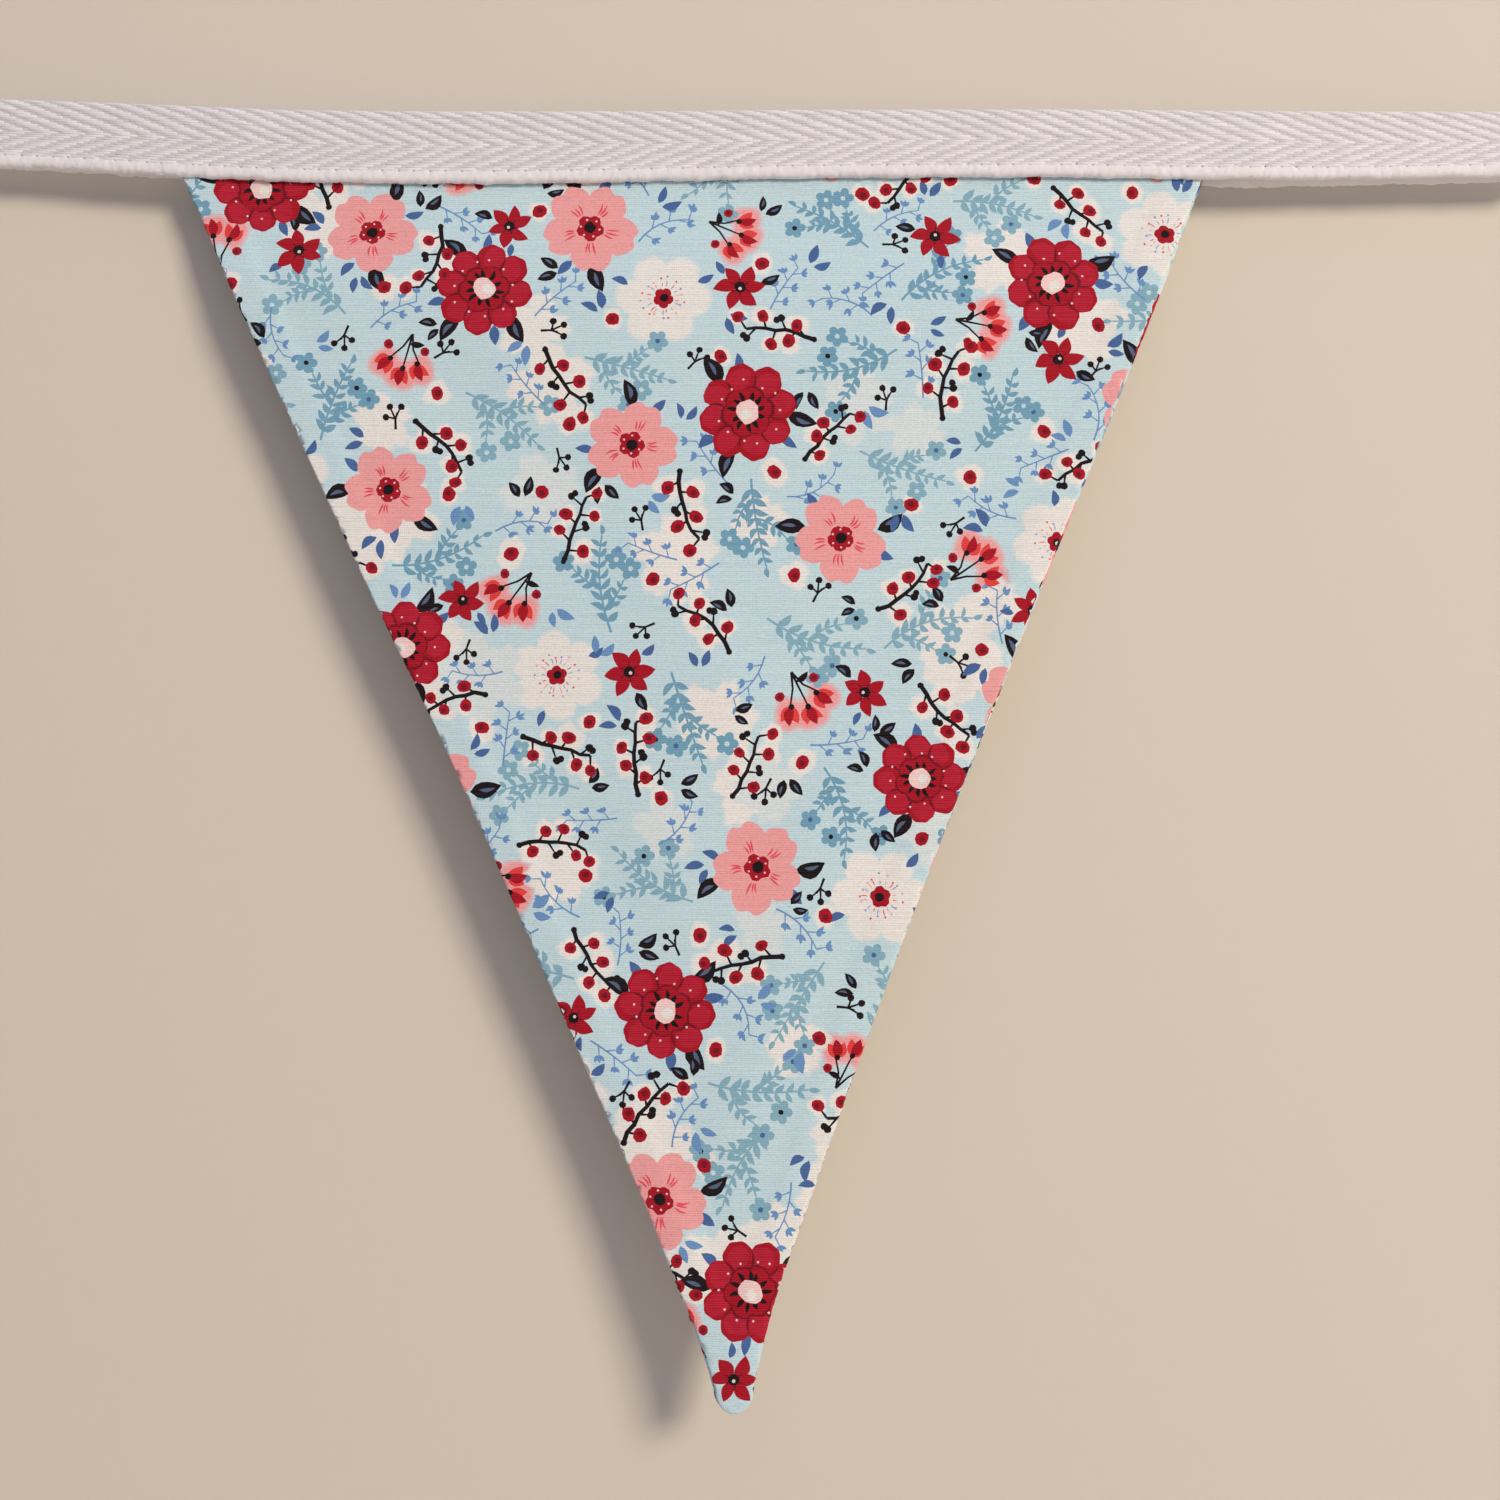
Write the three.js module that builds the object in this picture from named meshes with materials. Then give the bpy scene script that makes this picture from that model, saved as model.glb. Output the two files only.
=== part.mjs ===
// Fabric bunting: one double-sided cotton pennant, hung from a folded herringbone tape.
// Millimetres, +Z up. The pennant faces -Y, and the wall that it hangs on is on the +Y side.
// The origin is on the tape's top edge, above the middle of the pennant.
import * as THREE from 'three';

// Sheets
const PANEL_THICKNESS = 1;
const TAPE_THICKNESS = 1;
const CLEARANCE = 0.3; // between each sheet and the next

// Pennant outline: the drop is measured down from the tape's top edge, and left and right are the two
// seamed sides there. The first row is the raw top edge inside the tape, the second is where the tape ends.
const OUTLINE = [
  { drop: 3, left: -92.1, right: 91.4 },
  { drop: 12.5, left: -87.6, right: 87.5 },
  { drop: 56.3, left: -67.2, right: 69.9 },
  { drop: 84.8, left: -53.7, right: 58.1 },
  { drop: 110.9, left: -40.9, right: 47.6 },
  { drop: 150.4, left: -23.2, right: 32.3 },
  { drop: 183.5, left: -8.5, right: 20.3 },
  { drop: 201.2, left: -1, right: 13.9 },
  { drop: 208.9, left: 2.2, right: 11.8 },
  { drop: 215.2, left: 4.2, right: 10.4 },
];
const TIP_LENGTH = 3.6; // the turned point's round end, below the last row
const TIP_END_ANGLE = THREE.MathUtils.degToRad(78); // leaves a short blunt edge at the very end

// How far the pennant stands forward of the tape, down its left side, its middle and its right side.
// It leaves the tape straight, swings out from the wall just below it, and goes on out to the tip.
const BOW = [
  { drop: 0, left: 0, middle: 0, right: 0 },
  { drop: 14, left: 0, middle: 0, right: 0 },
  { drop: 35, left: 2.8, middle: 3.2, right: 2.7 },
  { drop: 60, left: 3.3, middle: 4, right: 3.2 },
  { drop: 90, left: 4.4, middle: 5.2, right: 4.2 },
  { drop: 135, left: 5.3, middle: 6, right: 5.1 },
  { drop: 175, left: 6.1, middle: 6.6, right: 5.9 },
  { drop: 219, left: 8.6, middle: 8.6, right: 8.6 },
];

// Tape along its length: how far its top edge rises above the origin, and how far its two halves hang
// below that edge. The back half is the longer one on the right, so that it shows below the front half.
const TAPE = [
  { x: -146, rise: 3, front: 11.7, back: 11.4 },
  { x: -110, rise: 1.7, front: 11.7, back: 11.4 },
  { x: -88, rise: 0.9, front: 12.3, back: 12 },
  { x: -66, rise: 0.1, front: 12.5, back: 12.2 },
  { x: -36, rise: -0.1, front: 12.7, back: 12.2 },
  { x: 0, rise: 0, front: 12.3, back: 12.4 },
  { x: 22, rise: 0.2, front: 12, back: 12.7 },
  { x: 60, rise: 0.3, front: 12, back: 12.8 },
  { x: 90, rise: 0, front: 11.9, back: 13 },
  { x: 146, rise: -0.1, front: 11.5, back: 12.9 },
];
const TAPE_END_HALF_GAP = 0.25; // between its two halves, away from the pennant
const TAPE_CLOSING = { from: 95, to: 112 }; // distance from the middle over which the halves close up

// Mesh density
const PANEL_COLUMNS = 12;
const PANEL_ROWS = 36;
const TIP_ROWS = 5;
const TAPE_STEPS = 48;
const FOLD_STEPS = 8;

const PRINTED_COTTON = new THREE.MeshStandardMaterial({ color: 0xbcd0d3, roughness: 0.9, metalness: 0 });
const TAPE_COTTON = new THREE.MeshStandardMaterial({ color: 0xe0dcd9, roughness: 0.92, metalness: 0 });

// The slope at a table's row, which never lets the curve swing past the rows beside it
function rowSlope(table, key, column, i) {
  const slope = (a, b) => (b[column] - a[column]) / (b[key] - a[key]);
  if (i === 0) return slope(table[0], table[1]);
  if (i === table.length - 1) return slope(table[i - 1], table[i]);
  const before = slope(table[i - 1], table[i]);
  const after = slope(table[i], table[i + 1]);
  return before * after > 0 ? (2 * before * after) / (before + after) : 0;
}

// A smooth value between a table's rows
function along(table, key, column, at) {
  let i = 0;
  while (i < table.length - 2 && at > table[i + 1][key]) i += 1;
  const span = table[i + 1][key] - table[i][key];
  const t = THREE.MathUtils.clamp((at - table[i][key]) / span, 0, 1);
  const start = table[i][column];
  const end = table[i + 1][column];
  const startSlope = rowSlope(table, key, column, i) * span;
  const endSlope = rowSlope(table, key, column, i + 1) * span;
  const rest = 1 - t;
  return (
    start * rest * rest * (1 + 2 * t) +
    end * t * t * (3 - 2 * t) +
    startSlope * t * rest * rest -
    endSlope * t * t * rest
  );
}

// The pennant's rows from its top edge to its tip, each with its drop, left and right
function pennantRows() {
  const first = OUTLINE[0];
  const last = OUTLINE[OUTLINE.length - 1];
  const rows = [];
  for (let i = 0; i <= PANEL_ROWS; i += 1) {
    const drop = THREE.MathUtils.lerp(first.drop, last.drop, i / PANEL_ROWS);
    rows.push({
      drop,
      left: along(OUTLINE, 'drop', 'left', drop),
      right: along(OUTLINE, 'drop', 'right', drop),
    });
  }
  const middle = (last.left + last.right) / 2;
  const halfWidth = (last.right - last.left) / 2;
  for (let i = 1; i <= TIP_ROWS; i += 1) {
    const angle = (TIP_END_ANGLE * i) / TIP_ROWS;
    rows.push({
      drop: last.drop + TIP_LENGTH * Math.sin(angle),
      left: middle - halfWidth * Math.cos(angle),
      right: middle + halfWidth * Math.cos(angle),
    });
  }
  return rows;
}

// How far the hung cloth stands forward, with across running from 0 at its left side to 1 at its right
function bow(across, drop) {
  const left = along(BOW, 'drop', 'left', drop);
  const middle = along(BOW, 'drop', 'middle', drop);
  const right = along(BOW, 'drop', 'right', drop);
  return (
    left * (1 - across) * (1 - 2 * across) +
    middle * 4 * across * (1 - across) +
    right * across * (2 * across - 1)
  );
}

function indexedGeometry(points, triangles) {
  const geometry = new THREE.BufferGeometry().setFromPoints(points);
  geometry.setIndex(triangles);
  geometry.computeVertexNormals();
  return geometry;
}

// A closed sheet between two grids of points, the front one facing -Y
function sheetGeometry(rows, columns, frontPoint, backPoint) {
  const points = [];
  const triangles = [];
  const stride = columns + 1;
  const backStart = rows * stride;
  for (const pointAt of [frontPoint, backPoint]) {
    for (let row = 0; row < rows; row += 1) {
      for (let column = 0; column <= columns; column += 1) points.push(pointAt(row, column));
    }
  }
  const quad = (a, b, c, d) => triangles.push(a, b, c, a, c, d);
  const at = (row, column) => row * stride + column;
  const behind = (row, column) => backStart + at(row, column);
  for (let row = 0; row < rows - 1; row += 1) {
    for (let column = 0; column < columns; column += 1) {
      quad(at(row, column), at(row + 1, column), at(row + 1, column + 1), at(row, column + 1));
      quad(behind(row, column), behind(row, column + 1), behind(row + 1, column + 1), behind(row + 1, column));
    }
    quad(at(row, 0), behind(row, 0), behind(row + 1, 0), at(row + 1, 0));
    quad(at(row, columns), at(row + 1, columns), behind(row + 1, columns), behind(row, columns));
  }
  const foot = rows - 1;
  for (let column = 0; column < columns; column += 1) {
    quad(at(0, column), at(0, column + 1), behind(0, column + 1), behind(0, column));
    quad(at(foot, column), behind(foot, column), behind(foot, column + 1), at(foot, column + 1));
  }
  return indexedGeometry(points, triangles);
}

// One cotton panel, whose front face lies this far behind the pennant's middle
function pennantPanel(name, frontOffset) {
  const rows = pennantRows();
  const surface = (offset) => (row, column) => {
    const { drop, left, right } = rows[row];
    const across = column / PANEL_COLUMNS;
    return new THREE.Vector3(THREE.MathUtils.lerp(left, right, across), offset - bow(across, drop), -drop);
  };
  const geometry = sheetGeometry(
    rows.length,
    PANEL_COLUMNS,
    surface(frontOffset),
    surface(frontOffset + PANEL_THICKNESS),
  );
  const panel = new THREE.Mesh(geometry, PRINTED_COTTON);
  panel.name = name;
  return panel;
}

// Half the space between the tape's two halves: room for both panels, closing up beyond the pennant
function tapeHalfGap(x) {
  const overPennant = CLEARANCE / 2 + PANEL_THICKNESS + CLEARANCE;
  const closed = THREE.MathUtils.smoothstep(Math.abs(x), TAPE_CLOSING.from, TAPE_CLOSING.to);
  return THREE.MathUtils.lerp(overPennant, TAPE_END_HALF_GAP, closed);
}

// The tape's folded section at one place along its length, as y and z
function tapeSection(x) {
  const inner = tapeHalfGap(x);
  const outer = inner + TAPE_THICKNESS;
  const top = along(TAPE, 'x', 'rise', x);
  const frontEdge = top - along(TAPE, 'x', 'front', x);
  const backEdge = top - along(TAPE, 'x', 'back', x);
  const foldCentre = top - outer;
  const fold = (radius, step) => {
    const angle = Math.PI * (1 - step / FOLD_STEPS);
    return new THREE.Vector2(radius * Math.cos(angle), foldCentre + radius * Math.sin(angle));
  };
  const section = [new THREE.Vector2(-outer, frontEdge)];
  for (let step = 0; step <= FOLD_STEPS; step += 1) section.push(fold(outer, step));
  section.push(new THREE.Vector2(outer, backEdge), new THREE.Vector2(inner, backEdge));
  for (let step = FOLD_STEPS; step >= 0; step -= 1) section.push(fold(inner, step));
  section.push(new THREE.Vector2(-inner, frontEdge));
  return section;
}

function tape() {
  const start = TAPE[0].x;
  const end = TAPE[TAPE.length - 1].x;
  const points = [];
  const triangles = [];
  let size = 0;
  for (let step = 0; step <= TAPE_STEPS; step += 1) {
    const x = THREE.MathUtils.lerp(start, end, step / TAPE_STEPS);
    const section = tapeSection(x);
    size = section.length;
    for (const { x: y, y: z } of section) points.push(new THREE.Vector3(x, y, z));
  }
  for (let step = 0; step < TAPE_STEPS; step += 1) {
    for (let i = 0; i < size; i += 1) {
      const next = (i + 1) % size;
      const a = step * size + i;
      const b = step * size + next;
      triangles.push(a, a + size, b + size, a, b + size, b);
    }
  }
  const lastSection = TAPE_STEPS * size;
  for (const [a, b, c] of THREE.ShapeUtils.triangulateShape(tapeSection(start), [])) {
    triangles.push(a, c, b);
  }
  for (const [a, b, c] of THREE.ShapeUtils.triangulateShape(tapeSection(end), [])) {
    triangles.push(lastSection + a, lastSection + b, lastSection + c);
  }
  const band = new THREE.Mesh(indexedGeometry(points, triangles), TAPE_COTTON);
  band.name = 'tape';
  return band;
}

const bunting = new THREE.Group();
bunting.name = 'fabric_bunting';
bunting.add(
  pennantPanel('pennant_front', -CLEARANCE / 2 - PANEL_THICKNESS),
  pennantPanel('pennant_back', CLEARANCE / 2),
  tape(),
);

export default bunting;
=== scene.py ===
# Looks of the fabric bunting: a printed cotton pennant, a folded herringbone tape and its stitching.
# Sizes are in millimetres, in the part's own frame, and are turned into metres as each mesh is made.
import math
import random

import bpy
import numpy as np
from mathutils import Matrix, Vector
from mathutils.geometry import delaunay_2d_cdt


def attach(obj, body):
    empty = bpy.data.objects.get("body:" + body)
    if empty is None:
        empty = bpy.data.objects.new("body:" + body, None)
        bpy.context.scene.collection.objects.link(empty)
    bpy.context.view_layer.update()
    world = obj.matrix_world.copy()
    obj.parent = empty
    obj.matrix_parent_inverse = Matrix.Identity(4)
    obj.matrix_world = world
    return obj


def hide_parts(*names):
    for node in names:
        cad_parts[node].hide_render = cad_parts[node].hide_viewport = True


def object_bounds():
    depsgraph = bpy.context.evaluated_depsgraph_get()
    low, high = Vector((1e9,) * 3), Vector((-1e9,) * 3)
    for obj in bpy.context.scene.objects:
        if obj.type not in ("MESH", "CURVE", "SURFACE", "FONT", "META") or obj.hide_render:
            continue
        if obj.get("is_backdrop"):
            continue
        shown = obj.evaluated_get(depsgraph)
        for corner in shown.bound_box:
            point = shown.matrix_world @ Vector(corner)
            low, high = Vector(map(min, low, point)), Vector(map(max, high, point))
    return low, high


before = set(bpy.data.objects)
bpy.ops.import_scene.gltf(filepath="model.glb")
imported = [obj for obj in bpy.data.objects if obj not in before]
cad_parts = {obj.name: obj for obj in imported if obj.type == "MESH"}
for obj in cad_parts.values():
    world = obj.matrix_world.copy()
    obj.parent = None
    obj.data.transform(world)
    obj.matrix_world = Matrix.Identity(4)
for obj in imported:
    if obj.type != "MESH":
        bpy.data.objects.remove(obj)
CAD_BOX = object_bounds()

MM = 0.001
FRONT = -1  # the panel or half that faces the viewer, towards -Y
BACK = 1


def table(columns, *rows):
    """A short table, as one array for each named column."""
    return dict(zip(columns.split(), np.array(rows, float).T))


# Pennant: the drop is measured down from the tape's top edge, and left and right are its two seamed sides
OUTLINE = table(
    "drop left right",
    (3, -92.1, 91.4),
    (12.5, -87.6, 87.5),
    (56.3, -67.2, 69.9),
    (84.8, -53.7, 58.1),
    (110.9, -40.9, 47.6),
    (150.4, -23.2, 32.3),
    (183.5, -8.5, 20.3),
    (201.2, -1, 13.9),
    (208.9, 2.2, 11.8),
    (215.2, 4.2, 10.4),
)
TIP_LENGTH = 3.6
SEAM_STEPS = 110  # down each side
TIP_STEPS = 26
# How far the pennant stands forward of the tape
BOW = table(
    "drop left middle right",
    (0, 0, 0, 0),
    (14, 0, 0, 0),
    (35, 2.8, 3.2, 2.7),
    (60, 3.3, 4, 3.2),
    (90, 4.4, 5.2, 4.2),
    (135, 5.3, 6, 5.1),
    (175, 6.1, 6.6, 5.9),
    (219, 8.6, 8.6, 8.6),
)
# How far the back panel's seam rolls out past the front panel's
ROLL = table(
    "drop left right",
    (0, 0, 0.15),
    (22, 0, 0.5),
    (60, 0, 0.42),
    (110, 0, 0.3),
    (150, 0.05, 0.1),
    (190, 0.1, 0),
    (206, 0.4, 0),
    (219, 0.35, 0),
)
# Soft creases: the middle of each, its direction from level, and its length, width and height
CREASES = table(
    "x drop turn length width height",
    (-38, 52, 38, 46, 8, -0.4),
    (30, 44, -24, 52, 9, 0.36),
    (-4, 84, 62, 44, 7, 0.3),
    (24, 104, -58, 40, 8, -0.38),
    (-16, 128, 66, 48, 6, -0.3),
    (14, 150, -72, 44, 5, 0.26),
    (2, 182, 74, 30, 4, -0.2),
    (58, 36, -50, 26, 5, -0.2),
    (-62, 34, 48, 24, 5, 0.2),
)
CREASE_BEND = 0.06
CREASE_TAPER = 1.6
CREASES_START = (14, 40)  # drops over which the creases grow
MID_HALF = 0.5  # half of the pennant's thickness, away from its seams
SEAM_HALF = 0.76  # over the turned allowances
TIP_HALF = 1.0  # where the allowances of both sides overlap
TIP_START = (188, 212)  # drops over which they come to overlap
ALLOWANCE = 6  # how far in from the seam the pressed allowances reach
ALLOWANCE_EDGE = 1.6  # how softly they end
SEAM_GAP = 0.06  # left inside each turned edge
TURN_RADIUS = (SEAM_HALF - SEAM_GAP) / 2  # of each panel's turned edge
COTTON_THICKNESS = 0.22
TURNED_IN = 1.6  # of the allowance that is modelled, past the turned edge
PUCKER = 0.07
PUCKER_LENGTH = 8.5
PUCKER_SEED = 5
PUCKER_RISE = (0, 1.5)  # depths inside the seam over which the puckers rise
PUCKER_FALL = (3, 9)
PUCKERS_START = (14, 30)  # drops over which they grow
ALLOWANCE_LINES = (1.0, 2.0, 3.4, 4.8, 6, 7.4)  # rows of points beside the seam
GRID = 2.4  # between the other points
MERGE = 1e-5  # points nearer than this become one
TURN_LINES = 7  # rows of points round the turned edge
PRINT_SEEDS = {FRONT: 7, BACK: 23}
BAKE_MARGIN = 0.005  # round the panel's map from 0 to 1
BAKE_OUTER = 0.99  # the outer face's share of that map
BAKE_INNER = 0.2

# Tape along its length: the rise of its top edge, and how far its two halves hang below it
TAPE = table(
    "x rise front back",
    (-146, 2.4, 11.7, 11.35),
    (-110, 1.15, 12, 11.3),
    (-88, 0.3, 12.6, 11.7),
    (-66, -0.5, 12.75, 11.8),
    (-36, -0.7, 12.85, 11.7),
    (0, -0.6, 12.4, 11.8),
    (22, -0.4, 12.15, 12),
    (60, -0.3, 12.1, 12.15),
    (90, -0.6, 12.2, 12.2),
    (146, -0.7, 11.4, 11.3),
)
TAPE_CLOSING = (95, 112)  # distance from the middle over which its halves close up
TAPE_GAP = 0.88  # half of the space between the halves, over the pennant
TAPE_END_GAP = 0.4
TAPE_BODY = 0.7  # thickness under the warp floats
TAPE_CURL = 1.5  # how far the back half's lower edge turns away at the tape's ends
TAPE_CURL_HEIGHT = 2.8
TAPE_CURL_LEAD = 14  # it turns away sooner than the halves close up
PICK = 1.16  # from one weft thread to the next
TWILL_REPEAT = 4 * PICK
TAPE_STEP = 0.36
ENDS = 52  # warp threads that float, from stitch line to stitch line
CHEVRON_ENDS = (0, 10, 26, 42, 52)  # where the twill turns back
CHEVRON_PICKS = (0, 10, -6, 10, 0)  # how far along the twill has come there
FLOAT_LENGTH = 4.1
FLOAT_HALF_WIDTH = 0.29
FLOAT_RISE = 0.09
FLOAT_LEAN = 0.07  # across each half, along the twill's ribs
FLOAT_REPEATS = (-14, 84)  # along the tape, before those past its ends are left out
FLOAT_END = 0.2  # between the last floats and the tape's end
FLOAT_SEED = 11
FLOAT_SPREAD = 0.05  # of each float's place and length
FLOAT_WIDTH_SPREAD = 0.07
FLOAT_RISE_SPREAD = 0.12
FLOAT_TONE_SPREAD = 0.035
FLOAT_TONES = (0.88, 1.08)
# Each float is a spindle: a point, three four-sided sections and a point
SPINDLE_POINT = 0.8  # how far its underside and its ends dip below the tape's body, as a share of its rise
SPINDLE_SECTIONS = ((-0.86, 0.85, 0.75), (0, 1, 1), (0.86, 0.85, 0.75))
SPINDLE_CORNERS = ((-1, -SPINDLE_POINT), (-0.5, 1), (0.5, 1), (1, -SPINDLE_POINT))
WEFT_PAINTED_SHADE = 0.82  # painted shade: the share to which the weft that shows between the floats is darkened
SELVEDGE = 2.1  # from the tape's lower edge up to the stitch line
# The tape's body from its lower edge up to just above the stitch line: how thick it is there
SELVEDGE_ROWS = table(
    "height lift",
    (0, -0.5),
    (0.1, -0.2),
    (0.34, 0.08),
    (0.75, 0.22),
    (1.2, 0.25),
    (1.65, 0.18),
    (SELVEDGE, 0.06),
    (2.5, 0.02),
    (2.9, 0),
)
STITCH_ROW = list(SELVEDGE_ROWS["height"]).index(SELVEDGE)
SELVEDGE_LUMPS = 0.05
LUMP_SEED = 63
SELVEDGE_SHADE = 1.05
SELVEDGE_SCALLOPS = 0.09
# Uneven waves along the selvedge: the height, length and seed of each
SELVEDGE_PUFF = ((0.22, 7.3, 61), (0.14, 2.4, 62))
SELVEDGE_WANDER = ((0.14, 17, 20), (0.08, 5.3, 40), (0.06, 1.9, 50))
WANDER_LEFT = 0.2  # of that wandering, at the stitch line
TAPE_FLAT_ROWS = 4
TAPE_FOLD_ROWS = 9
LINING_GAP = 0.03  # keeps the tape's inner face off the pennant
STITCH = 2.7
STITCH_START = 1.2  # from the tape's left end
STITCH_END = 0.5  # least distance from its right end
STITCH_RINGS = 7
STITCH_DIP = -0.4
STITCH_ARCH = 0.46
STITCH_ROUND = 0.45  # how steeply it rises from its holes: less is steeper
STITCH_NECK = 0.75  # its thickness at the holes, as a share
NEEDLE_DENT = 0.36
THREAD_RADIUS = 0.13
THREAD_SIDES = 6
# Loose fibres: how many, the part of the tape's section that they grow from, and their length and radius
FUZZ = (
    (900, (-0.01, 0.04), (0.3, 1.0), 0.022),
    (500, (0.4, 0.6), (0.3, 0.7), 0.018),
    (700, (0.96, 1.01), (0.3, 1.0), 0.022),
    (500, (0.04, 0.96), (0.3, 0.6), 0.016),
    (9, (0, 0.012), (1.2, 2.2), 0.06),
)
FUZZ_ROOT = 0.05
FUZZ_AIM = 0.5  # a place above the root, which gives the way out
FUZZ_DROOP = 1.2  # of the fibres near the tape's lower edges
FUZZ_BEND = 0.5
FUZZ_TAPER = 0.7
FUZZ_END = 1  # between the last fibres and the tape's end
FUZZ_EDGE = 1  # how near those are
FUZZ_SPREAD = (0.3, 1)  # how far each stands out, against how far it leans along the tape
FUZZ_SEED = 31

# Cotton weave
WEFT_PITCH = 0.3735
WARP_PITCH = 0.34
WARP_RELIEF = 0.35  # beside the weft's
GRAIN_RELIEF = 1.2
WEFT_TILT = 0.02
TILT_DROPS = (60, 200)  # over which the weft comes to tilt
WEFT_WANDER = 0.4  # how far the weft's slubs push it off its line
# Noise in a metre of cloth: the weft's slubs, soft patches, and the yarns' fibres, lumps and clouds
SLUBS = 110
PATCHES = 900
TAPE_FIBRES = (900, 9000)  # along the yarns, and across them
TAPE_LUMPS = 1600
TAPE_CLOUDS = 140
THREAD_FIBRES = (2500, 900)
GRAINS = 0.8  # in a warp pitch
# The shade of each cloth, and what the parts of its weave add to it; the cotton's threads add painted
# shade, darker in the thin lines between the threads
COTTON_SHADE = {"base": 0.617, "threads": 0.14, "slubs": 0.1, "grain": 0.3, "patches": 0.1}
TAPE_SHADE = {"base": 0.89, "fibres": 0.12, "clouds": 0.1}
THREAD_SHADE = {"base": 0.9, "fibres": 0.16}
WEFT_TOP_HIGHLIGHT = {"base": -0.013, "weft": 0.018}  # painted highlight added to the dye, so that the weft's tops are paler
# Relief of each cloth: its strength, and its height in millimetres
COTTON_BUMP = (0.5, 0.06)
TAPE_BUMP = (0.35, 0.12)
THREAD_BUMP = (0.3, 0.05)
FIBRE_RELIEF = 0.8  # beside the yarns' lumps
# Roughness and sheen
COTTON_FINISH = (0.9, 0.08)
TAPE_FINISH = (0.92, 0.12)
THREAD_FINISH = (0.75, 0.1)
STAGE_FINISH = (0.95, 0)
CLOTH_SPECULAR = 0.22
SHEEN_ROUGHNESS = 0.5

# Camera and stage
FRAME_PIXELS = 1500
FOCAL_PIXELS = 1504
SENSOR = 36
CAMERA_PLACE = (9.83, -256.3, -117.3)
CAMERA_UP_TILT = 1.5  # degrees
NEAR_CLIP = 0.01  # metres
WALL = 5.2
FLOOR = -420
STAGE_REACH = 1600
# Soft lights: the way to each from the pennant's middle, and its distance, size, watts and colour
LIT_PLACE = (0, 0, -100)
KEY = ((0.903, -1, 0.589), 2100, 580, 35, (1, 0.885, 0.695))
FILL_ABOVE = ((0.1, -1, 1.5), 1500, 1200, 1.5, (1, 0.95, 1))
BACK_FILL = ((-0.6, 1, 0.6), 1500, 900, 5, (0.8, 0.92, 1))
ROOM_LIGHT = (0.92, 1.085, 1.64, 1)
ROOM_STRENGTH = 0.19
ROOM_SEEN = (0.62, 0.56, 0.49, 1)


# Shared curves

def along(rows, column, at):
    """A smooth value at a place in a table's first column, which never swings past the rows beside it."""
    x = next(iter(rows.values()))
    y = rows[column]
    steps = np.diff(y) / np.diff(x)
    before = steps[:-1]
    after = steps[1:]
    same = before * after > 0
    inner = np.where(same, 2 * before * after / np.where(same, before + after, 1), 0)
    slopes = np.concatenate((steps[:1], inner, steps[-1:]))
    i = np.clip(np.searchsorted(x, at) - 1, 0, len(x) - 2)
    span = x[i + 1] - x[i]
    t = np.clip((at - x[i]) / span, 0, 1)
    rest = 1 - t
    level = y[i] * rest**2 * (1 + 2 * t) + y[i + 1] * t**2 * (3 - 2 * t)
    return level + span * (slopes[i] * t * rest**2 - slopes[i + 1] * t**2 * rest)


def smooth(low, high, at):
    """A soft step from 0 to 1."""
    t = np.clip((at - low) / (high - low), 0, 1)
    return t * t * (3 - 2 * t)


def wander(at, length, seed):
    """A slow uneven wave between about -1 and 1, made of three sines."""
    rng = random.Random(seed)
    total = np.zeros_like(at, dtype=float)
    for part in (1, 0.53, 0.31):
        turn = rng.uniform(0, 2 * math.pi)
        total += part**0.5 * np.sin(2 * math.pi * at / (length * part) + turn)
    return total / 2.3


def waves(at, rows, shift=0):
    """Some uneven waves together, from the height, length and seed of each."""
    return sum(height * wander(at, length, seed + shift) for height, length, seed in rows)


def unit(vectors):
    return vectors / np.linalg.norm(vectors, axis=-1, keepdims=True)


def circle(count):
    """Evenly spaced angles, once round."""
    return np.linspace(0, 2 * math.pi, count, endpoint=False)


def spun(points, turn):
    """Flat points, turned about the origin."""
    way = np.array(((math.cos(turn), math.sin(turn)), (-math.sin(turn), math.cos(turn))))
    return np.array(points) @ way


# Pennant shape

def seam_line(side):
    """The sewn line, down the left side, round the tip and up the right side, with its inward normals."""
    drop = np.linspace(OUTLINE["drop"][0], OUTLINE["drop"][-1], SEAM_STEPS)
    roll = (side == BACK) * 1.0
    left = along(OUTLINE, "left", drop) - roll * along(ROLL, "left", drop)
    right = along(OUTLINE, "right", drop) + roll * along(ROLL, "right", drop)
    angle = np.linspace(0, math.pi, TIP_STEPS)[1:-1]
    middle = (left[-1] + right[-1]) / 2
    half = (right[-1] - left[-1]) / 2
    tip_x = middle - half * np.cos(angle)
    tip_drop = drop[-1] + TIP_LENGTH * np.sin(angle)
    x = np.concatenate((left, tip_x, right[::-1]))
    y = np.concatenate((drop, tip_drop, drop[::-1]))
    line = np.stack((x, y), 1)
    way = np.gradient(line, axis=0)
    inward = unit(np.stack((way[:, 1], -way[:, 0]), 1))
    return line, inward


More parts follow.
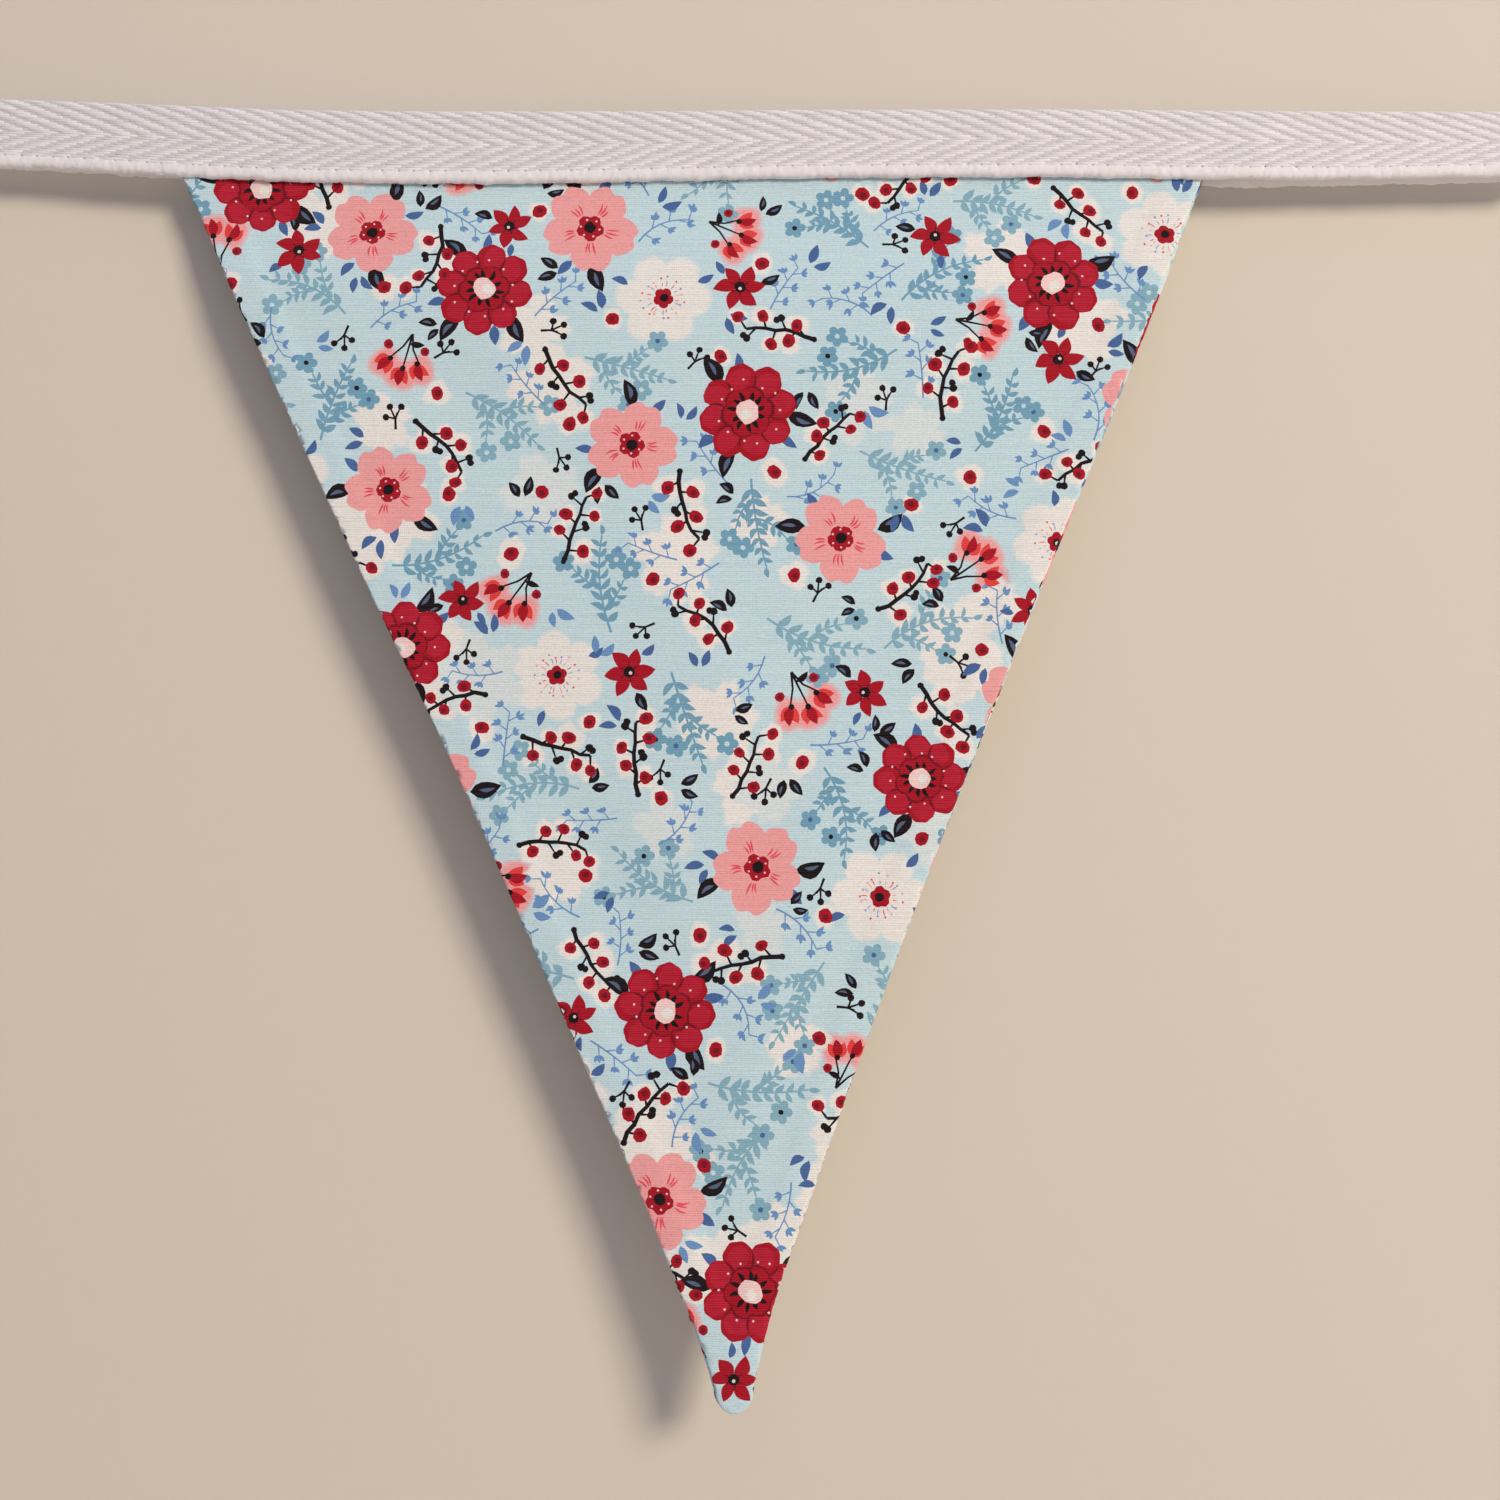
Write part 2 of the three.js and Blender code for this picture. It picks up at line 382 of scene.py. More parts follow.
def seam_place(points, seam):
    """For pattern points: the distance inside the seam, the nearest point on it, and the way inwards."""
    line, inward = seam
    gap = (line**2).sum(1) - 2 * points @ line.T
    near = np.clip(gap.argmin(1), 1, len(line) - 2)
    best = np.full(len(points), np.inf)
    foot = np.zeros_like(points)
    normal = np.zeros_like(points)
    for start in (near - 1, near):
        way = line[start + 1] - line[start]
        t = ((points - line[start]) * way).sum(1) / (way**2).sum(1)
        t = np.clip(t, 0, 1)[:, None]
        here = line[start] + t * way
        distance = ((points - here) ** 2).sum(1)
        closer = distance < best
        best = np.where(closer, distance, best)
        foot[closer] = here[closer]
        lean = inward[start] * (1 - t) + inward[start + 1] * t
        normal[closer] = unit(lean)[closer]
    depth = ((points - foot) * normal).sum(1)
    return depth, foot, normal


def creases(x, drop):
    """Height of the soft creases, forward of the bow."""
    total = np.zeros_like(x)
    for i in range(len(CREASES["x"])):
        row = {name: column[i] for name, column in CREASES.items()}
        turn = math.radians(row["turn"])
        dx = x - row["x"]
        dy = drop - row["drop"]
        length = dx * math.cos(turn) + dy * math.sin(turn)
        across = dy * math.cos(turn) - dx * math.sin(turn)
        bend = across + CREASE_BEND * length**2 / row["length"]
        fade = (length / row["length"] * CREASE_TAPER) ** 2
        total += row["height"] * np.exp(-fade - (bend / row["width"]) ** 2)
    return total * smooth(*CREASES_START, drop)


def half_thickness(depth, drop, place):
    """Half of the pennant's thickness, from the depth inside its seam."""
    pressed = 1 - smooth(ALLOWANCE - ALLOWANCE_EDGE, ALLOWANCE + ALLOWANCE_EDGE, depth)
    seam = SEAM_HALF + (TIP_HALF - SEAM_HALF) * smooth(*TIP_START, drop)
    near = smooth(*PUCKER_RISE, depth) * (1 - smooth(*PUCKER_FALL, depth))
    pucker = PUCKER * wander(place, PUCKER_LENGTH, PUCKER_SEED) * near
    return MID_HALF + (seam - MID_HALF) * pressed + pucker * smooth(*PUCKERS_START, drop)


def hang(points, side, seam):
    """Where points of a panel's flat pattern lie once it is sewn, turned, pressed and hung."""
    depth, foot, inward = seam_place(points, seam)
    half = half_thickness(depth, points[:, 1], foot[:, 1])
    edge = half_thickness(np.zeros_like(depth), points[:, 1], foot[:, 1])
    radius = (edge - SEAM_GAP) / 2
    past = np.maximum(radius - depth, 0)
    angle = np.minimum(past / radius, math.pi)
    folded_in = np.maximum(past - math.pi * radius, 0)
    turned = foot + inward * (radius * (1 - np.sin(angle)) + folded_in)[:, None]
    x, drop = np.where((past > 0)[:, None], turned, points).T
    left = along(OUTLINE, "left", drop)
    right = along(OUTLINE, "right", drop)
    u = (x - left) / (right - left)
    bow_left = along(BOW, "left", drop)
    bow_middle = along(BOW, "middle", drop)
    bow_right = along(BOW, "right", drop)
    bow = bow_left * (1 - u) * (1 - 2 * u) + 4 * bow_middle * u * (1 - u) + bow_right * u * (2 * u - 1)
    y = -bow - creases(x, drop) + side * (half - radius * (1 - np.cos(angle)))
    return np.stack((x, y, -drop), 1)


def hung_normals(points, side, seam):
    """Outward normals of the hung panel, from small steps on its pattern."""
    step = 0.03
    across = hang(points + (step, 0), side, seam) - hang(points - (step, 0), side, seam)
    down = hang(points + (0, step), side, seam) - hang(points - (0, step), side, seam)
    return side * unit(np.cross(across, down))


# Print: ordinary flowers, berries and sprigs of an own design, scattered by seeded chance

LIGHT_COLOUR = np.array((0.89, 0.81, 0.78))


def dye(red, green, blue):
    """A dye's own colour, from how it looks, from 0 to 255, in the scene's warm light."""
    shown = np.array((red, green, blue)) / 255
    linear = np.where(shown <= 0.04045, shown / 12.92, ((shown + 0.055) / 1.055) ** 2.4)
    return np.minimum(linear / LIGHT_COLOUR, 0.9)


GROUND = dye(188, 204, 211)
WHITE = dye(223, 213, 209)
RED = dye(160, 15, 34)
DEEP_RED = dye(112, 12, 32)
ROSE = dye(216, 72, 88)
PINK = dye(227, 151, 152)
PALE_PINK = dye(238, 192, 190)
CORAL = dye(216, 62, 60)
INK = dye(26, 14, 20)
INK_LIGHT = dye(82, 94, 122)
BRICK = dye(172, 27, 48)
DUSTY_BLUE = dye(128, 163, 180)
SEA_BLUE = dye(110, 150, 173)
PERIWINKLE = dye(103, 137, 183)
SLATE = dye(70, 96, 146)
LILAC = dye(150, 140, 190)
PALE_GROUND = (GROUND + WHITE) / 2
TAPE_WHITE = (*dye(218, 207, 209), 1)
WALL_COLOUR = (*dye(206, 190, 177), 1)

# Layers of the print, from the ground up
DRIFT, SPRIGS, TWIGS, LEAVES, FLOWERS = range(5)


class Pen:
    """Collects the print's coloured outlines, each drawn in its motif's own place, turn and size."""

    def __init__(self, rng):
        self.rng = rng
        self.shapes = []
        self.place()

    def place(self, at=(0, 0), turn=0, size=1):
        self.at = np.array(at, float)
        self.turn = turn
        self.size = size

    def fill(self, outline, colour, layer, cover=1):
        placed = spun(outline * self.size, self.turn) + self.at
        self.shapes.append((layer, placed, colour, cover))

    def soft(self, outline, colour, layer, width, steps=5):
        """A shape whose edge fades out over a width, in steps of equal cover."""
        middle = outline.mean(0)
        reach = np.linalg.norm(outline - middle, axis=1).max()
        for step in range(steps):
            grown = 1 + width / reach * (0.5 - (step + 0.5) / steps)
            self.fill(middle + (outline - middle) * grown, colour, layer, 1 / (steps - step))

    def uneven(self, amount):
        return 1 + self.rng.uniform(-amount, amount)

    def around(self, count, jitter):
        """Angles round a flower, each a little off its even place."""
        for i in range(count):
            yield 2 * math.pi * i / count + self.rng.uniform(-jitter, jitter)

    def spot(self, at, radius, colour, layer, sides=8, stretch=1.0):
        """A small uneven dot."""
        turn = self.rng.uniform(0, math.pi)
        angles = circle(sides)
        reach = np.array([radius * self.uneven(0.09) for _ in angles])
        dot = np.stack((reach * np.cos(angles) * stretch, reach * np.sin(angles)), 1)
        self.fill(np.array(at) + spun(dot, turn), colour, layer)

    def leaf(self, root, turn, length, width, colour, layer, steps=5):
        """A pointed leaf that grows from its root."""
        t = np.linspace(0, 1, steps + 1)
        half = width / 2 * np.sin(math.pi * t**0.85) ** 0.85 * self.uneven(0.1)
        sway = length * 0.08 * self.uneven(0.9) * np.sin(math.pi * t)
        upper = np.stack((length * t, sway + half), 1)
        lower = np.stack((length * t, sway - half), 1)[-2:0:-1]
        self.fill(np.array(root) + spun(np.concatenate((upper, lower)), turn), colour, layer)

    def stem(self, points, width, colour, layer):
        """A drawn line along some points, a little thinner at its end."""
        path = np.array(points, float)
        way = unit(np.gradient(path, axis=0))
        normal = np.stack((-way[:, 1], way[:, 0]), 1)
        half = np.linspace(width, width * 0.65, len(path))[:, None] / 2
        self.fill(np.concatenate((path + normal * half, (path - normal * half)[::-1])), colour, layer)


def polar(count, radius):
    """A closed outline, from a radius at each of some angles."""
    angle = circle(count)
    reach = radius(angle)
    return np.stack((reach * np.cos(angle), reach * np.sin(angle)), 1)


def ray(angle, distance):
    return np.array((math.cos(angle), math.sin(angle))) * distance


def bent_path(length, bend, steps=8):
    """A gently curved stem, from the origin along x."""
    t = np.linspace(0, 1, steps)
    return np.stack((length * t, bend * length * t * (1 - t) * 2), 1)


def petals(count, notch, sharp, ruffle, rng):
    """The radius of a flower of unit size with this many petals, as a function of the angle."""
    phase = [rng.uniform(0, 2 * math.pi) for _ in range(3)]

    def radius(angle):
        lobe = np.abs(np.cos(count * angle / 2)) ** sharp
        edge = np.sin(count * 3 * angle + phase[0]) + 0.6 * np.sin(5 * angle + phase[1])
        return 1 - notch * (1 - lobe) + ruffle * edge + 0.03 * np.sin(2 * angle + phase[2])

    return radius


def inked_leaf(pen, root, turn, length):
    """A near-black leaf with a faint blue light along it."""
    pen.leaf(root, turn, length, length * 0.5, INK, LEAVES)
    light = root + ray(turn, length * 0.3)
    pen.leaf(light, turn + 0.08, length * 0.5, length * 0.13, INK_LIGHT, LEAVES, 4)


def red_rosette(pen):
    """A full red blossom with eight petals, a dark ring of stamens and a round pale button."""
    rng = pen.rng
    for turn in (rng.uniform(0, 1), rng.uniform(2, 3), rng.uniform(4, 5.2)):
        inked_leaf(pen, ray(turn, 6.2), turn + rng.uniform(-0.4, 0.4), 5.2)
        pen.leaf(ray(turn + 0.5, 6.4), turn + 0.7, 3.4, 1.6, SLATE, LEAVES)
    pen.fill(polar(96, petals(8, 0.2, 0.8, 0.012, rng)) * 7.9, RED, FLOWERS)
    for angle in pen.around(8, 0.1):
        pen.spot(ray(angle, 5.5), 1.7, BRICK, FLOWERS, 10, 1.25)
    for gap in circle(8) + math.pi / 8:
        pen.leaf(ray(gap, 3.4), gap, 2.9, 0.42, DEEP_RED, FLOWERS)
    pen.fill(polar(48, petals(6, 0.16, 0.8, 0.02, rng)) * 4.3, DEEP_RED, FLOWERS)
    pen.fill(polar(48, petals(6, 0.16, 0.8, 0.02, rng)) * 3.95, RED, FLOWERS)
    for angle in pen.around(11, 0.12):
        pen.leaf(ray(angle, 1.4), angle, rng.uniform(1.5, 2.3), 0.75, INK, FLOWERS, 4)
        pen.spot(ray(angle + 0.28, rng.uniform(4.3, 5.4)), 0.2, PALE_PINK, FLOWERS, 6)
    pen.spot((0, 0), 1.75, PALE_PINK, FLOWERS, 14, 1.12)
    pen.spot((-0.35, 0.4), 0.8, WHITE, FLOWERS, 9, 1.2)


def pink_mallow(pen):
    """A pink blossom of five heart-shaped petals, with a deep red heart."""
    rng = pen.rng
    for turn in (rng.uniform(0, 1.2), rng.uniform(3, 4.4)):
        inked_leaf(pen, ray(turn, 6.4), turn - 0.35, 5.2)
        pen.leaf(ray(turn + 0.5, 6.4), turn + 0.8, 3.4, 1.6, SLATE, LEAVES)
    whole = petals(5, 0.3, 0.7, 0.008, rng)

    def hearts(angle):
        dent = np.exp(-((np.mod(angle * 5 / (2 * math.pi) + 0.5, 1) - 0.5) ** 2) / 0.008)
        return whole(angle) - 0.1 * dent

    pen.fill(polar(100, hearts) * 8, PINK, FLOWERS)
    for angle in circle(5):
        for lean in (-0.22, 0, 0.22):
            root = ray(angle + lean * 0.6, 2.5)
            pen.leaf(root, angle + lean, rng.uniform(1.7, 2.6), 0.34, ROSE, FLOWERS, 4)
    pen.fill(polar(40, petals(5, 0.2, 0.8, 0.03, rng)) * 2.3, RED, FLOWERS)
    pen.spot((0.1, 0), 1.0, INK, FLOWERS, 9)
    for i in range(6):
        pen.spot(ray(i * 1.05 + 0.3, 1.55), 0.2, PALE_PINK, FLOWERS, 5)


def white_anemone(pen):
    """A soft white blossom of six petals, with a red eye and a ring of fine dots."""
    rng = pen.rng
    pen.soft(polar(72, petals(6, 0.26, 0.75, 0.012, rng)) * 7.9, WHITE, DRIFT, 1.0, 4)
    for i, angle in enumerate(pen.around(17, 0.1)):
        colour = (ROSE, LILAC, PINK)[i % 3]
        pen.leaf(ray(angle, 1.9), angle, rng.uniform(0.7, 1.5), 0.2, colour, FLOWERS, 3)
        pen.spot(ray(angle, rng.uniform(3.0, 3.9)), 0.21, colour, FLOWERS, 5)
    pen.fill(polar(30, petals(5, 0.22, 0.8, 0.03, rng)) * 1.75, RED, FLOWERS)
    pen.spot((0.1, 0.1), 0.75, INK, FLOWERS, 8)
    for turn in (rng.uniform(0, 2), rng.uniform(3, 5)):
        pen.leaf(ray(turn, 6.3), turn, 3.0, 1.4, SLATE, LEAVES)


def red_daisy(pen):
    """A small red flower of six narrow petals."""
    rng = pen.rng
    for angle in pen.around(6, 0.12):
        pen.leaf(ray(angle, 0.4), angle, 3.7 * pen.uneven(0.08), 2.2, RED, FLOWERS, 6)
    for angle in circle(6) + math.pi / 6:
        pen.leaf(ray(angle, 0.7), angle, 1.1, 0.32, DEEP_RED, FLOWERS, 3)
    pen.spot((0, 0), 0.95, INK, FLOWERS, 9)
    pen.spot((0.2, 0.15), 0.3, PALE_PINK, FLOWERS, 6)
    turn = rng.uniform(0, 6)
    pen.leaf(ray(turn, 3.4), turn + 0.3, 2.6, 1.2, SLATE, LEAVES)
    inked_leaf(pen, ray(turn + 2.2, 3.4), turn + 2.0, 3.4)


def coral_buds(pen):
    """A forked spray of three coral buds in a soft pink glow."""
    rng = pen.rng
    buds = ((-2.9, 2.2), (0.4, 3.4), (3.2, 1.6))
    glow = polar(18, lambda angle: 2.7 + 0.25 * np.sin(3 * angle))
    for x, y in buds:
        pen.soft(glow + (x, y), PINK, DRIFT, 1.2, 4)
        pen.stem(((0, -4.2), (x * 0.3, -1.6), (x * 0.8, y - 1.4)), 0.42, INK, TWIGS)
    for x, y in buds:
        lean = math.atan2(y + 3, x)
        for spread in (-0.5, 0.5, 0):
            root = np.array((x, y)) - ray(lean, 1.4)
            colour = RED if spread == 0 else CORAL
            pen.leaf(root, lean + spread, 3.3 - 0.5 * abs(spread), 1.7, colour, FLOWERS, 5)
        pen.spot(np.array((x, y)) - ray(lean, 1.3), 0.55, INK, FLOWERS, 6)
    for x, y in ((-3.4, -1.2), (3.0, -1.9)):
        pen.spot((x, y), 0.85, RED, FLOWERS, 8)
        pen.spot((x + 0.1, y), 0.42, DEEP_RED, FLOWERS, 6)
    pen.leaf((0.1, -2.4), rng.uniform(-0.5, 0.4), 2.6, 1.1, INK, LEAVES)


def berry(pen, at, radius):
    """A red berry with a darker heart, in a soft white halo."""
    at = np.array(at)
    lobes = petals(pen.rng.choice((2, 3)), 0.3, 0.9, 0.05, pen.rng)
    pen.soft(polar(14, lobes) * radius * pen.rng.uniform(1.7, 2.5) + at, WHITE, DRIFT, 0.7, 2)
    pen.spot(at, radius, RED, FLOWERS, 9, 1.14)
    pen.spot(at + (0.14, -0.1), radius * 0.5, DEEP_RED, FLOWERS, 6)


def berry_twig(pen):
    """A dark bent twig with red berries and a few dark buds."""
    rng = pen.rng
    path = bent_path(11.5, rng.uniform(-0.3, 0.3)) - (5.7, 0)
    path[:, 1] += np.array([rng.uniform(-0.25, 0.25) for _ in path])
    pen.stem(path, 0.78, INK, TWIGS)
    for i, knot in enumerate(path[1:]):
        side = (1, -1)[i % 2]
        reach = ray(side * rng.uniform(0.8, 1.4), rng.uniform(1.7, 2.7))
        pen.stem((knot, knot + reach * 0.4, knot + reach * 0.75), 0.42, INK, TWIGS)
        if i in (2, 5):
            pen.spot(knot + reach, 0.68, INK, TWIGS, 8)
            pen.spot(knot + reach * 0.8 + (0.9, 0), 0.6, INK, TWIGS, 8)
        else:
            berry(pen, knot + reach, rng.uniform(0.92, 1.1))
    pen.spot(path[0], 0.55, INK, TWIGS, 7)


def floret(pen, at, colour):
    """A small flat flower of five petals."""
    pen.fill(polar(30, petals(5, 0.34, 0.8, 0.01, pen.rng)) * 1.9 + at, colour, SPRIGS)
    pen.spot(at, 0.45, pen.rng.choice((INK, SLATE, GROUND)), SPRIGS, 6)


def leafy_branch(pen, root, turn, length, knots, leaf, colour):
    """A branch with a pair of leaflets at each knot and one at its end."""
    rng = pen.rng
    path = spun(bent_path(length, rng.uniform(-0.25, 0.25), knots + 2), turn) + root
    pen.stem(path, 0.4, colour, SPRIGS)
    for i, knot in enumerate(path[1:-1]):
        size = leaf * (1 - 0.4 * i / knots)
        for side in (-1, 1):
            lean = turn + side * rng.uniform(0.65, 1.0)
            pen.leaf(knot, lean, size * pen.uneven(0.18), size * 0.44, colour, SPRIGS, 4)
    pen.leaf(path[-1], turn, leaf * 0.7, leaf * 0.32, colour, SPRIGS, 4)
    return path


def blue_frond(pen):
    """A dusty blue frond with two side branches and small florets."""
    rng = pen.rng
    colour = rng.choice((DUSTY_BLUE, SEA_BLUE))
    path = leafy_branch(pen, (-8, 0), 0, rng.uniform(14, 17), 8, 2.7, colour)
    for knot, side in ((2, 1), (4, -1)):
        lean = side * rng.uniform(0.6, 0.9)
        branch = leafy_branch(pen, path[knot], lean, rng.uniform(5, 7), 3, 2.2, colour)
        floret(pen, branch[-1] + ray(lean, 2.2), colour)
    floret(pen, path[6] + ray(1.2, 3.2), colour)


def fine_sprig(pen):
    """A fine periwinkle sprig of tiny leaves."""
    rng = pen.rng
    path = bent_path(9, rng.uniform(-0.3, 0.3), 7) - (4.5, 0)
    pen.stem(path, 0.3, PERIWINKLE, SPRIGS)
    for i, knot in enumerate(path[1:]):
        turn = (0.9, -0.9)[i % 2] * pen.uneven(0.2)
        tip = knot + ray(turn, 1.5)
        pen.stem((knot, knot + ray(turn, 0.7), tip), 0.26, PERIWINKLE, SPRIGS)
        for lean in (-0.7, 0, 0.6):
            pen.leaf(tip, turn + lean, rng.uniform(1.0, 1.6), 0.62, PERIWINKLE, SPRIGS, 4)


def leaf_pair(pen):
    """Two small leaves, dark or blue."""
    colour = pen.rng.choice((None, SLATE, PERIWINKLE, SLATE, None))
    for turn in (0.4, -0.5):
        length = 3.2 * pen.uneven(0.15)
        if colour is None:
            inked_leaf(pen, np.array((-1.4, turn)), turn, length)
        else:
            pen.leaf((-1.4, turn), turn, length, length * 0.45, colour, LEAVES)


def lone_berry(pen):
    """One red berry."""
    berry(pen, (0, 0), 1.12)


def dark_buds(pen):
    """A tiny forked twig with dark buds."""
    pen.stem(((-2, 0), (-0.4, 0.1), (0.8, 0.5)), 0.44, INK, TWIGS)
    for tip in ((1.7, 1.3), (1.9, -0.6), (0.2, -1.4)):
        pen.stem(((-0.2, 0.1), np.array(tip) * 0.6, tip), 0.36, INK, TWIGS)
        pen.spot(tip, 0.6, INK, TWIGS, 7)


def white_drift(pen):
    """A soft white patch that lies under the other motifs."""
    shape = petals(pen.rng.choice((4, 5, 6)), 0.34, 0.9, 0.08, pen.rng)
    colour = pen.rng.choice((WHITE, WHITE, PALE_GROUND))
    pen.soft(polar(44, shape) * pen.rng.uniform(4.5, 8), colour, DRIFT, 1.0, 3)


# Motifs in the order in which they are placed: how many, and the radius and places of the discs that each
# keeps to itself
ONE_DISC = ((0, 0),)
MOTIFS = (
    (red_rosette, 8, 8.0, ONE_DISC),
    (pink_mallow, 13, 7.6, ONE_DISC),
    (white_anemone, 10, 7.4, ONE_DISC),
    (coral_buds, 13, 4.8, ONE_DISC),
    (blue_frond, 34, 3.0, ((-6, 0), (-1.5, 2.5), (-1, -2), (3, 0), (6, 0))),
    (berry_twig, 32, 2.5, ((-4, 0), (0, 0), (4, 0))),
    (red_daisy, 14, 3.7, ONE_DISC),
    (fine_sprig, 46, 1.7, ((-2.8, 0), (0.6, 0), (3.4, 0))),
    (dark_buds, 36, 1.8, ONE_DISC),
    (lone_berry, 46, 1.6, ONE_DISC),
    (leaf_pair, 90, 1.5, ONE_DISC),
)
MOTIF_SIZES = (0.94, 1.06)
DRIFTS = 64
DRIFT_ACROSS = (-80, 80)
DRIFT_DOWN = (5, 200)
TRIES = 260
CHOICES = 10
PRINT_ACROSS = (-100, 100)
PRINT_DOWN = (-2, 226)
PRINT_MARGIN = 7


def nearest(at, others):
    """How far off the nearest of some places is, or 0 where there are none."""
    return min((np.linalg.norm(at - other) for other in others), default=0)


def free_places(rng, inside, taken, radius, discs):
    """A few places where a motif's discs touch no others, each with its turn and those discs."""
    free = []
    for _ in range(TRIES):
        at = np.array((rng.uniform(*PRINT_ACROSS), rng.uniform(*PRINT_DOWN)))
        turn = rng.uniform(0, 2 * math.pi)
        if not inside(at):
            continue
        own = spun(discs, turn) + at
        gaps = np.linalg.norm(own[:, None] - taken[None, :, :2], axis=2) - taken[:, 2] - radius
        if gaps.size and gaps.min() < 0:
            continue
        free.append((at, turn, own))
        if len(free) == CHOICES:
            break
    return free


def scattered(rng, inside):
    """Places for all motifs: each is the best of a few free places, far from others of its kind."""
    taken = np.zeros((0, 3))
    for draw, count, radius, discs in MOTIFS:
        alike = []
        for _ in range(count):
            free = free_places(rng, inside, taken, radius, discs)
            if not free:
                continue
            at, turn, own = max(free, key=lambda place: nearest(place[0], alike))
            alike.append(at)
            taken = np.vstack((taken, np.column_stack((own, np.full(len(own), radius)))))
            yield draw, at, turn


def print_shapes(seed, border):
    """The coloured outlines of one panel's print, from the lowest layer up."""
    rng = random.Random(seed)
    pen = Pen(rng)

    def inside(at):
        left = np.interp(at[1], OUTLINE["drop"], OUTLINE["left"]) - PRINT_MARGIN
        right = np.interp(at[1], OUTLINE["drop"], OUTLINE["right"]) + PRINT_MARGIN
        return left < at[0] < right

    for draw, at, turn in list(scattered(rng, inside)):
        pen.place(at, turn, rng.uniform(*MOTIF_SIZES))
        draw(pen)
    for _ in range(DRIFTS):
        pen.place((rng.uniform(*DRIFT_ACROSS), rng.uniform(*DRIFT_DOWN)), rng.uniform(0, 6))
        white_drift(pen)
    low = border.min(0)
    high = border.max(0)
    shown = [s for s in pen.shapes if (s[1].max(0) > low).all() and (s[1].min(0) < high).all()]
    return sorted(shown, key=lambda shape: shape[0])


def inside_outline(points, outline):
    """Which points lie inside a closed outline."""
    x, y = points.T
    inside = np.zeros(len(points), bool)
    for (ax, ay), (bx, by) in zip(outline, np.roll(outline, -1, 0)):
        if ay != by:
            inside ^= ((ay > y) != (by > y)) & (x < ax + (y - ay) * (bx - ax) / (by - ay))
    return inside


# Meshes

def linked(name, data):
    """A new object in the scene."""
    made = bpy.data.objects.new(name, data)
    bpy.context.scene.collection.objects.link(made)
    return made


def new_piece(name, points, faces, material, normals=None):
    """A smooth mesh object from points in millimetres, which rides on the part's only body."""
    mesh = bpy.data.meshes.new(name)
    mesh.from_pydata((points * MM).tolist(), [], faces)
    mesh.polygons.foreach_set("use_smooth", np.ones(len(mesh.polygons), bool))
    mesh.materials.append(material)
    if normals is not None:
        mesh.normals_split_custom_set_from_vertices(normals.tolist())
    piece = linked(name, mesh)
    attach(piece, "root")
    return piece


def repeated(one, size, count):
    """The triangles of many like forms, from those of one form and its number of points."""
    return (np.array(one)[None] + size * np.arange(count)[:, None, None]).reshape(-1, 3)


def corner_points(piece):
    """The index of the point at each corner of a piece's faces."""
    corners = np.empty(len(piece.data.loops), np.int32)
    piece.data.loops.foreach_get("vertex_index", corners)
    return corners


def add_uv(piece, name, places):
    """A UV map from one place for each point."""
    layer = piece.data.uv_layers.new(name=name)
    layer.data.foreach_set("uv", places[corner_points(piece)].astype(np.float32).ravel())


def add_colours(piece, name, colours):
    """A colour for each corner."""
    layer = piece.data.color_attributes.new(name, "FLOAT_COLOR", "CORNER")
    opaque = np.column_stack((colours, np.ones(len(colours))))
    layer.data.foreach_set("color", opaque.astype(np.float32).ravel())


def offset_line(seam, depth):
    line, inward = seam
    return line + inward * depth


def free_points(seam, border):
    """Points that carry a panel's turned edge, its pressed allowances and its folds."""
    turned = TURN_RADIUS * (1 - np.linspace(0, math.pi, TURN_LINES))
    points = [offset_line(seam, depth) for depth in (*turned, *ALLOWANCE_LINES)]
    across = np.arange(border[:, 0].min(), border[:, 0].max(), GRID)
    down = np.arange(border[:, 1].min(), border[:, 1].max(), GRID)
    grid_x, grid_drop = np.meshgrid(across, down)
    grid_x[1::2] += GRID / 2
    grid = np.stack((grid_x.ravel(), grid_drop.ravel()), 1)
    depth = seam_place(grid, seam)[0]
    points.append(grid[depth > ALLOWANCE_LINES[0]])
    points = np.concatenate(points)
    return points[inside_outline(points, border)]


def triangulated(points, edges, border):
    """Triangles inside the border, with the points in the order given where none are added."""
    made = delaunay_2d_cdt(points.tolist(), edges, [], 0, MERGE, False)
    flat = np.array([tuple(p) for p in made[0]])
    triangles = np.array(made[2])
    return flat, triangles[inside_outline(flat[triangles].mean(1), border)]


def pattern_mesh(seam, border, shapes):
    """Triangles of a panel's flat pattern, cut along its print."""
    points = [free_points(seam, border)]
    edges = []
    start = len(points[0])
    for outline in (border, *(shape[1] for shape in shapes)):
        count = len(outline)
        edges.extend((start + i, start + (i + 1) % count) for i in range(count))
        points.append(outline)
        start += count
    flat, triangles = triangulated(np.concatenate(points), edges, border)
    used, triangles = np.unique(triangles, return_inverse=True)
    return flat[used], triangles.reshape(-1, 3)


def lining_mesh(seam, border, rim_points, rim):
    """A plainer triangulation of the same pattern on the same rim, for the sheet's inner face."""
    points = np.concatenate((rim_points, free_points(seam, border)))
    return triangulated(points, rim.tolist(), border)


def painted(flat, triangles, shapes):
    """The print's colour on each triangle."""
    middles = flat[triangles].mean(1)
    order = np.argsort(middles[:, 0])
    middles = middles[order]
    across, down = middles.T.copy()
    colours = np.tile(GROUND, (len(middles), 1))
    for _, outline, colour, cover in shapes:
        low = outline.min(0)
        high = outline.max(0)
        first, last = np.searchsorted(across, (low[0], high[0]))
        level = down[first:last]
        near = first + np.flatnonzero((level > low[1]) & (level < high[1]))
        hit = near[inside_outline(middles[near], outline)]
        colours[hit] += (colour - colours[hit]) * cover
    placed = np.empty_like(colours)
    placed[order] = colours
    return placed


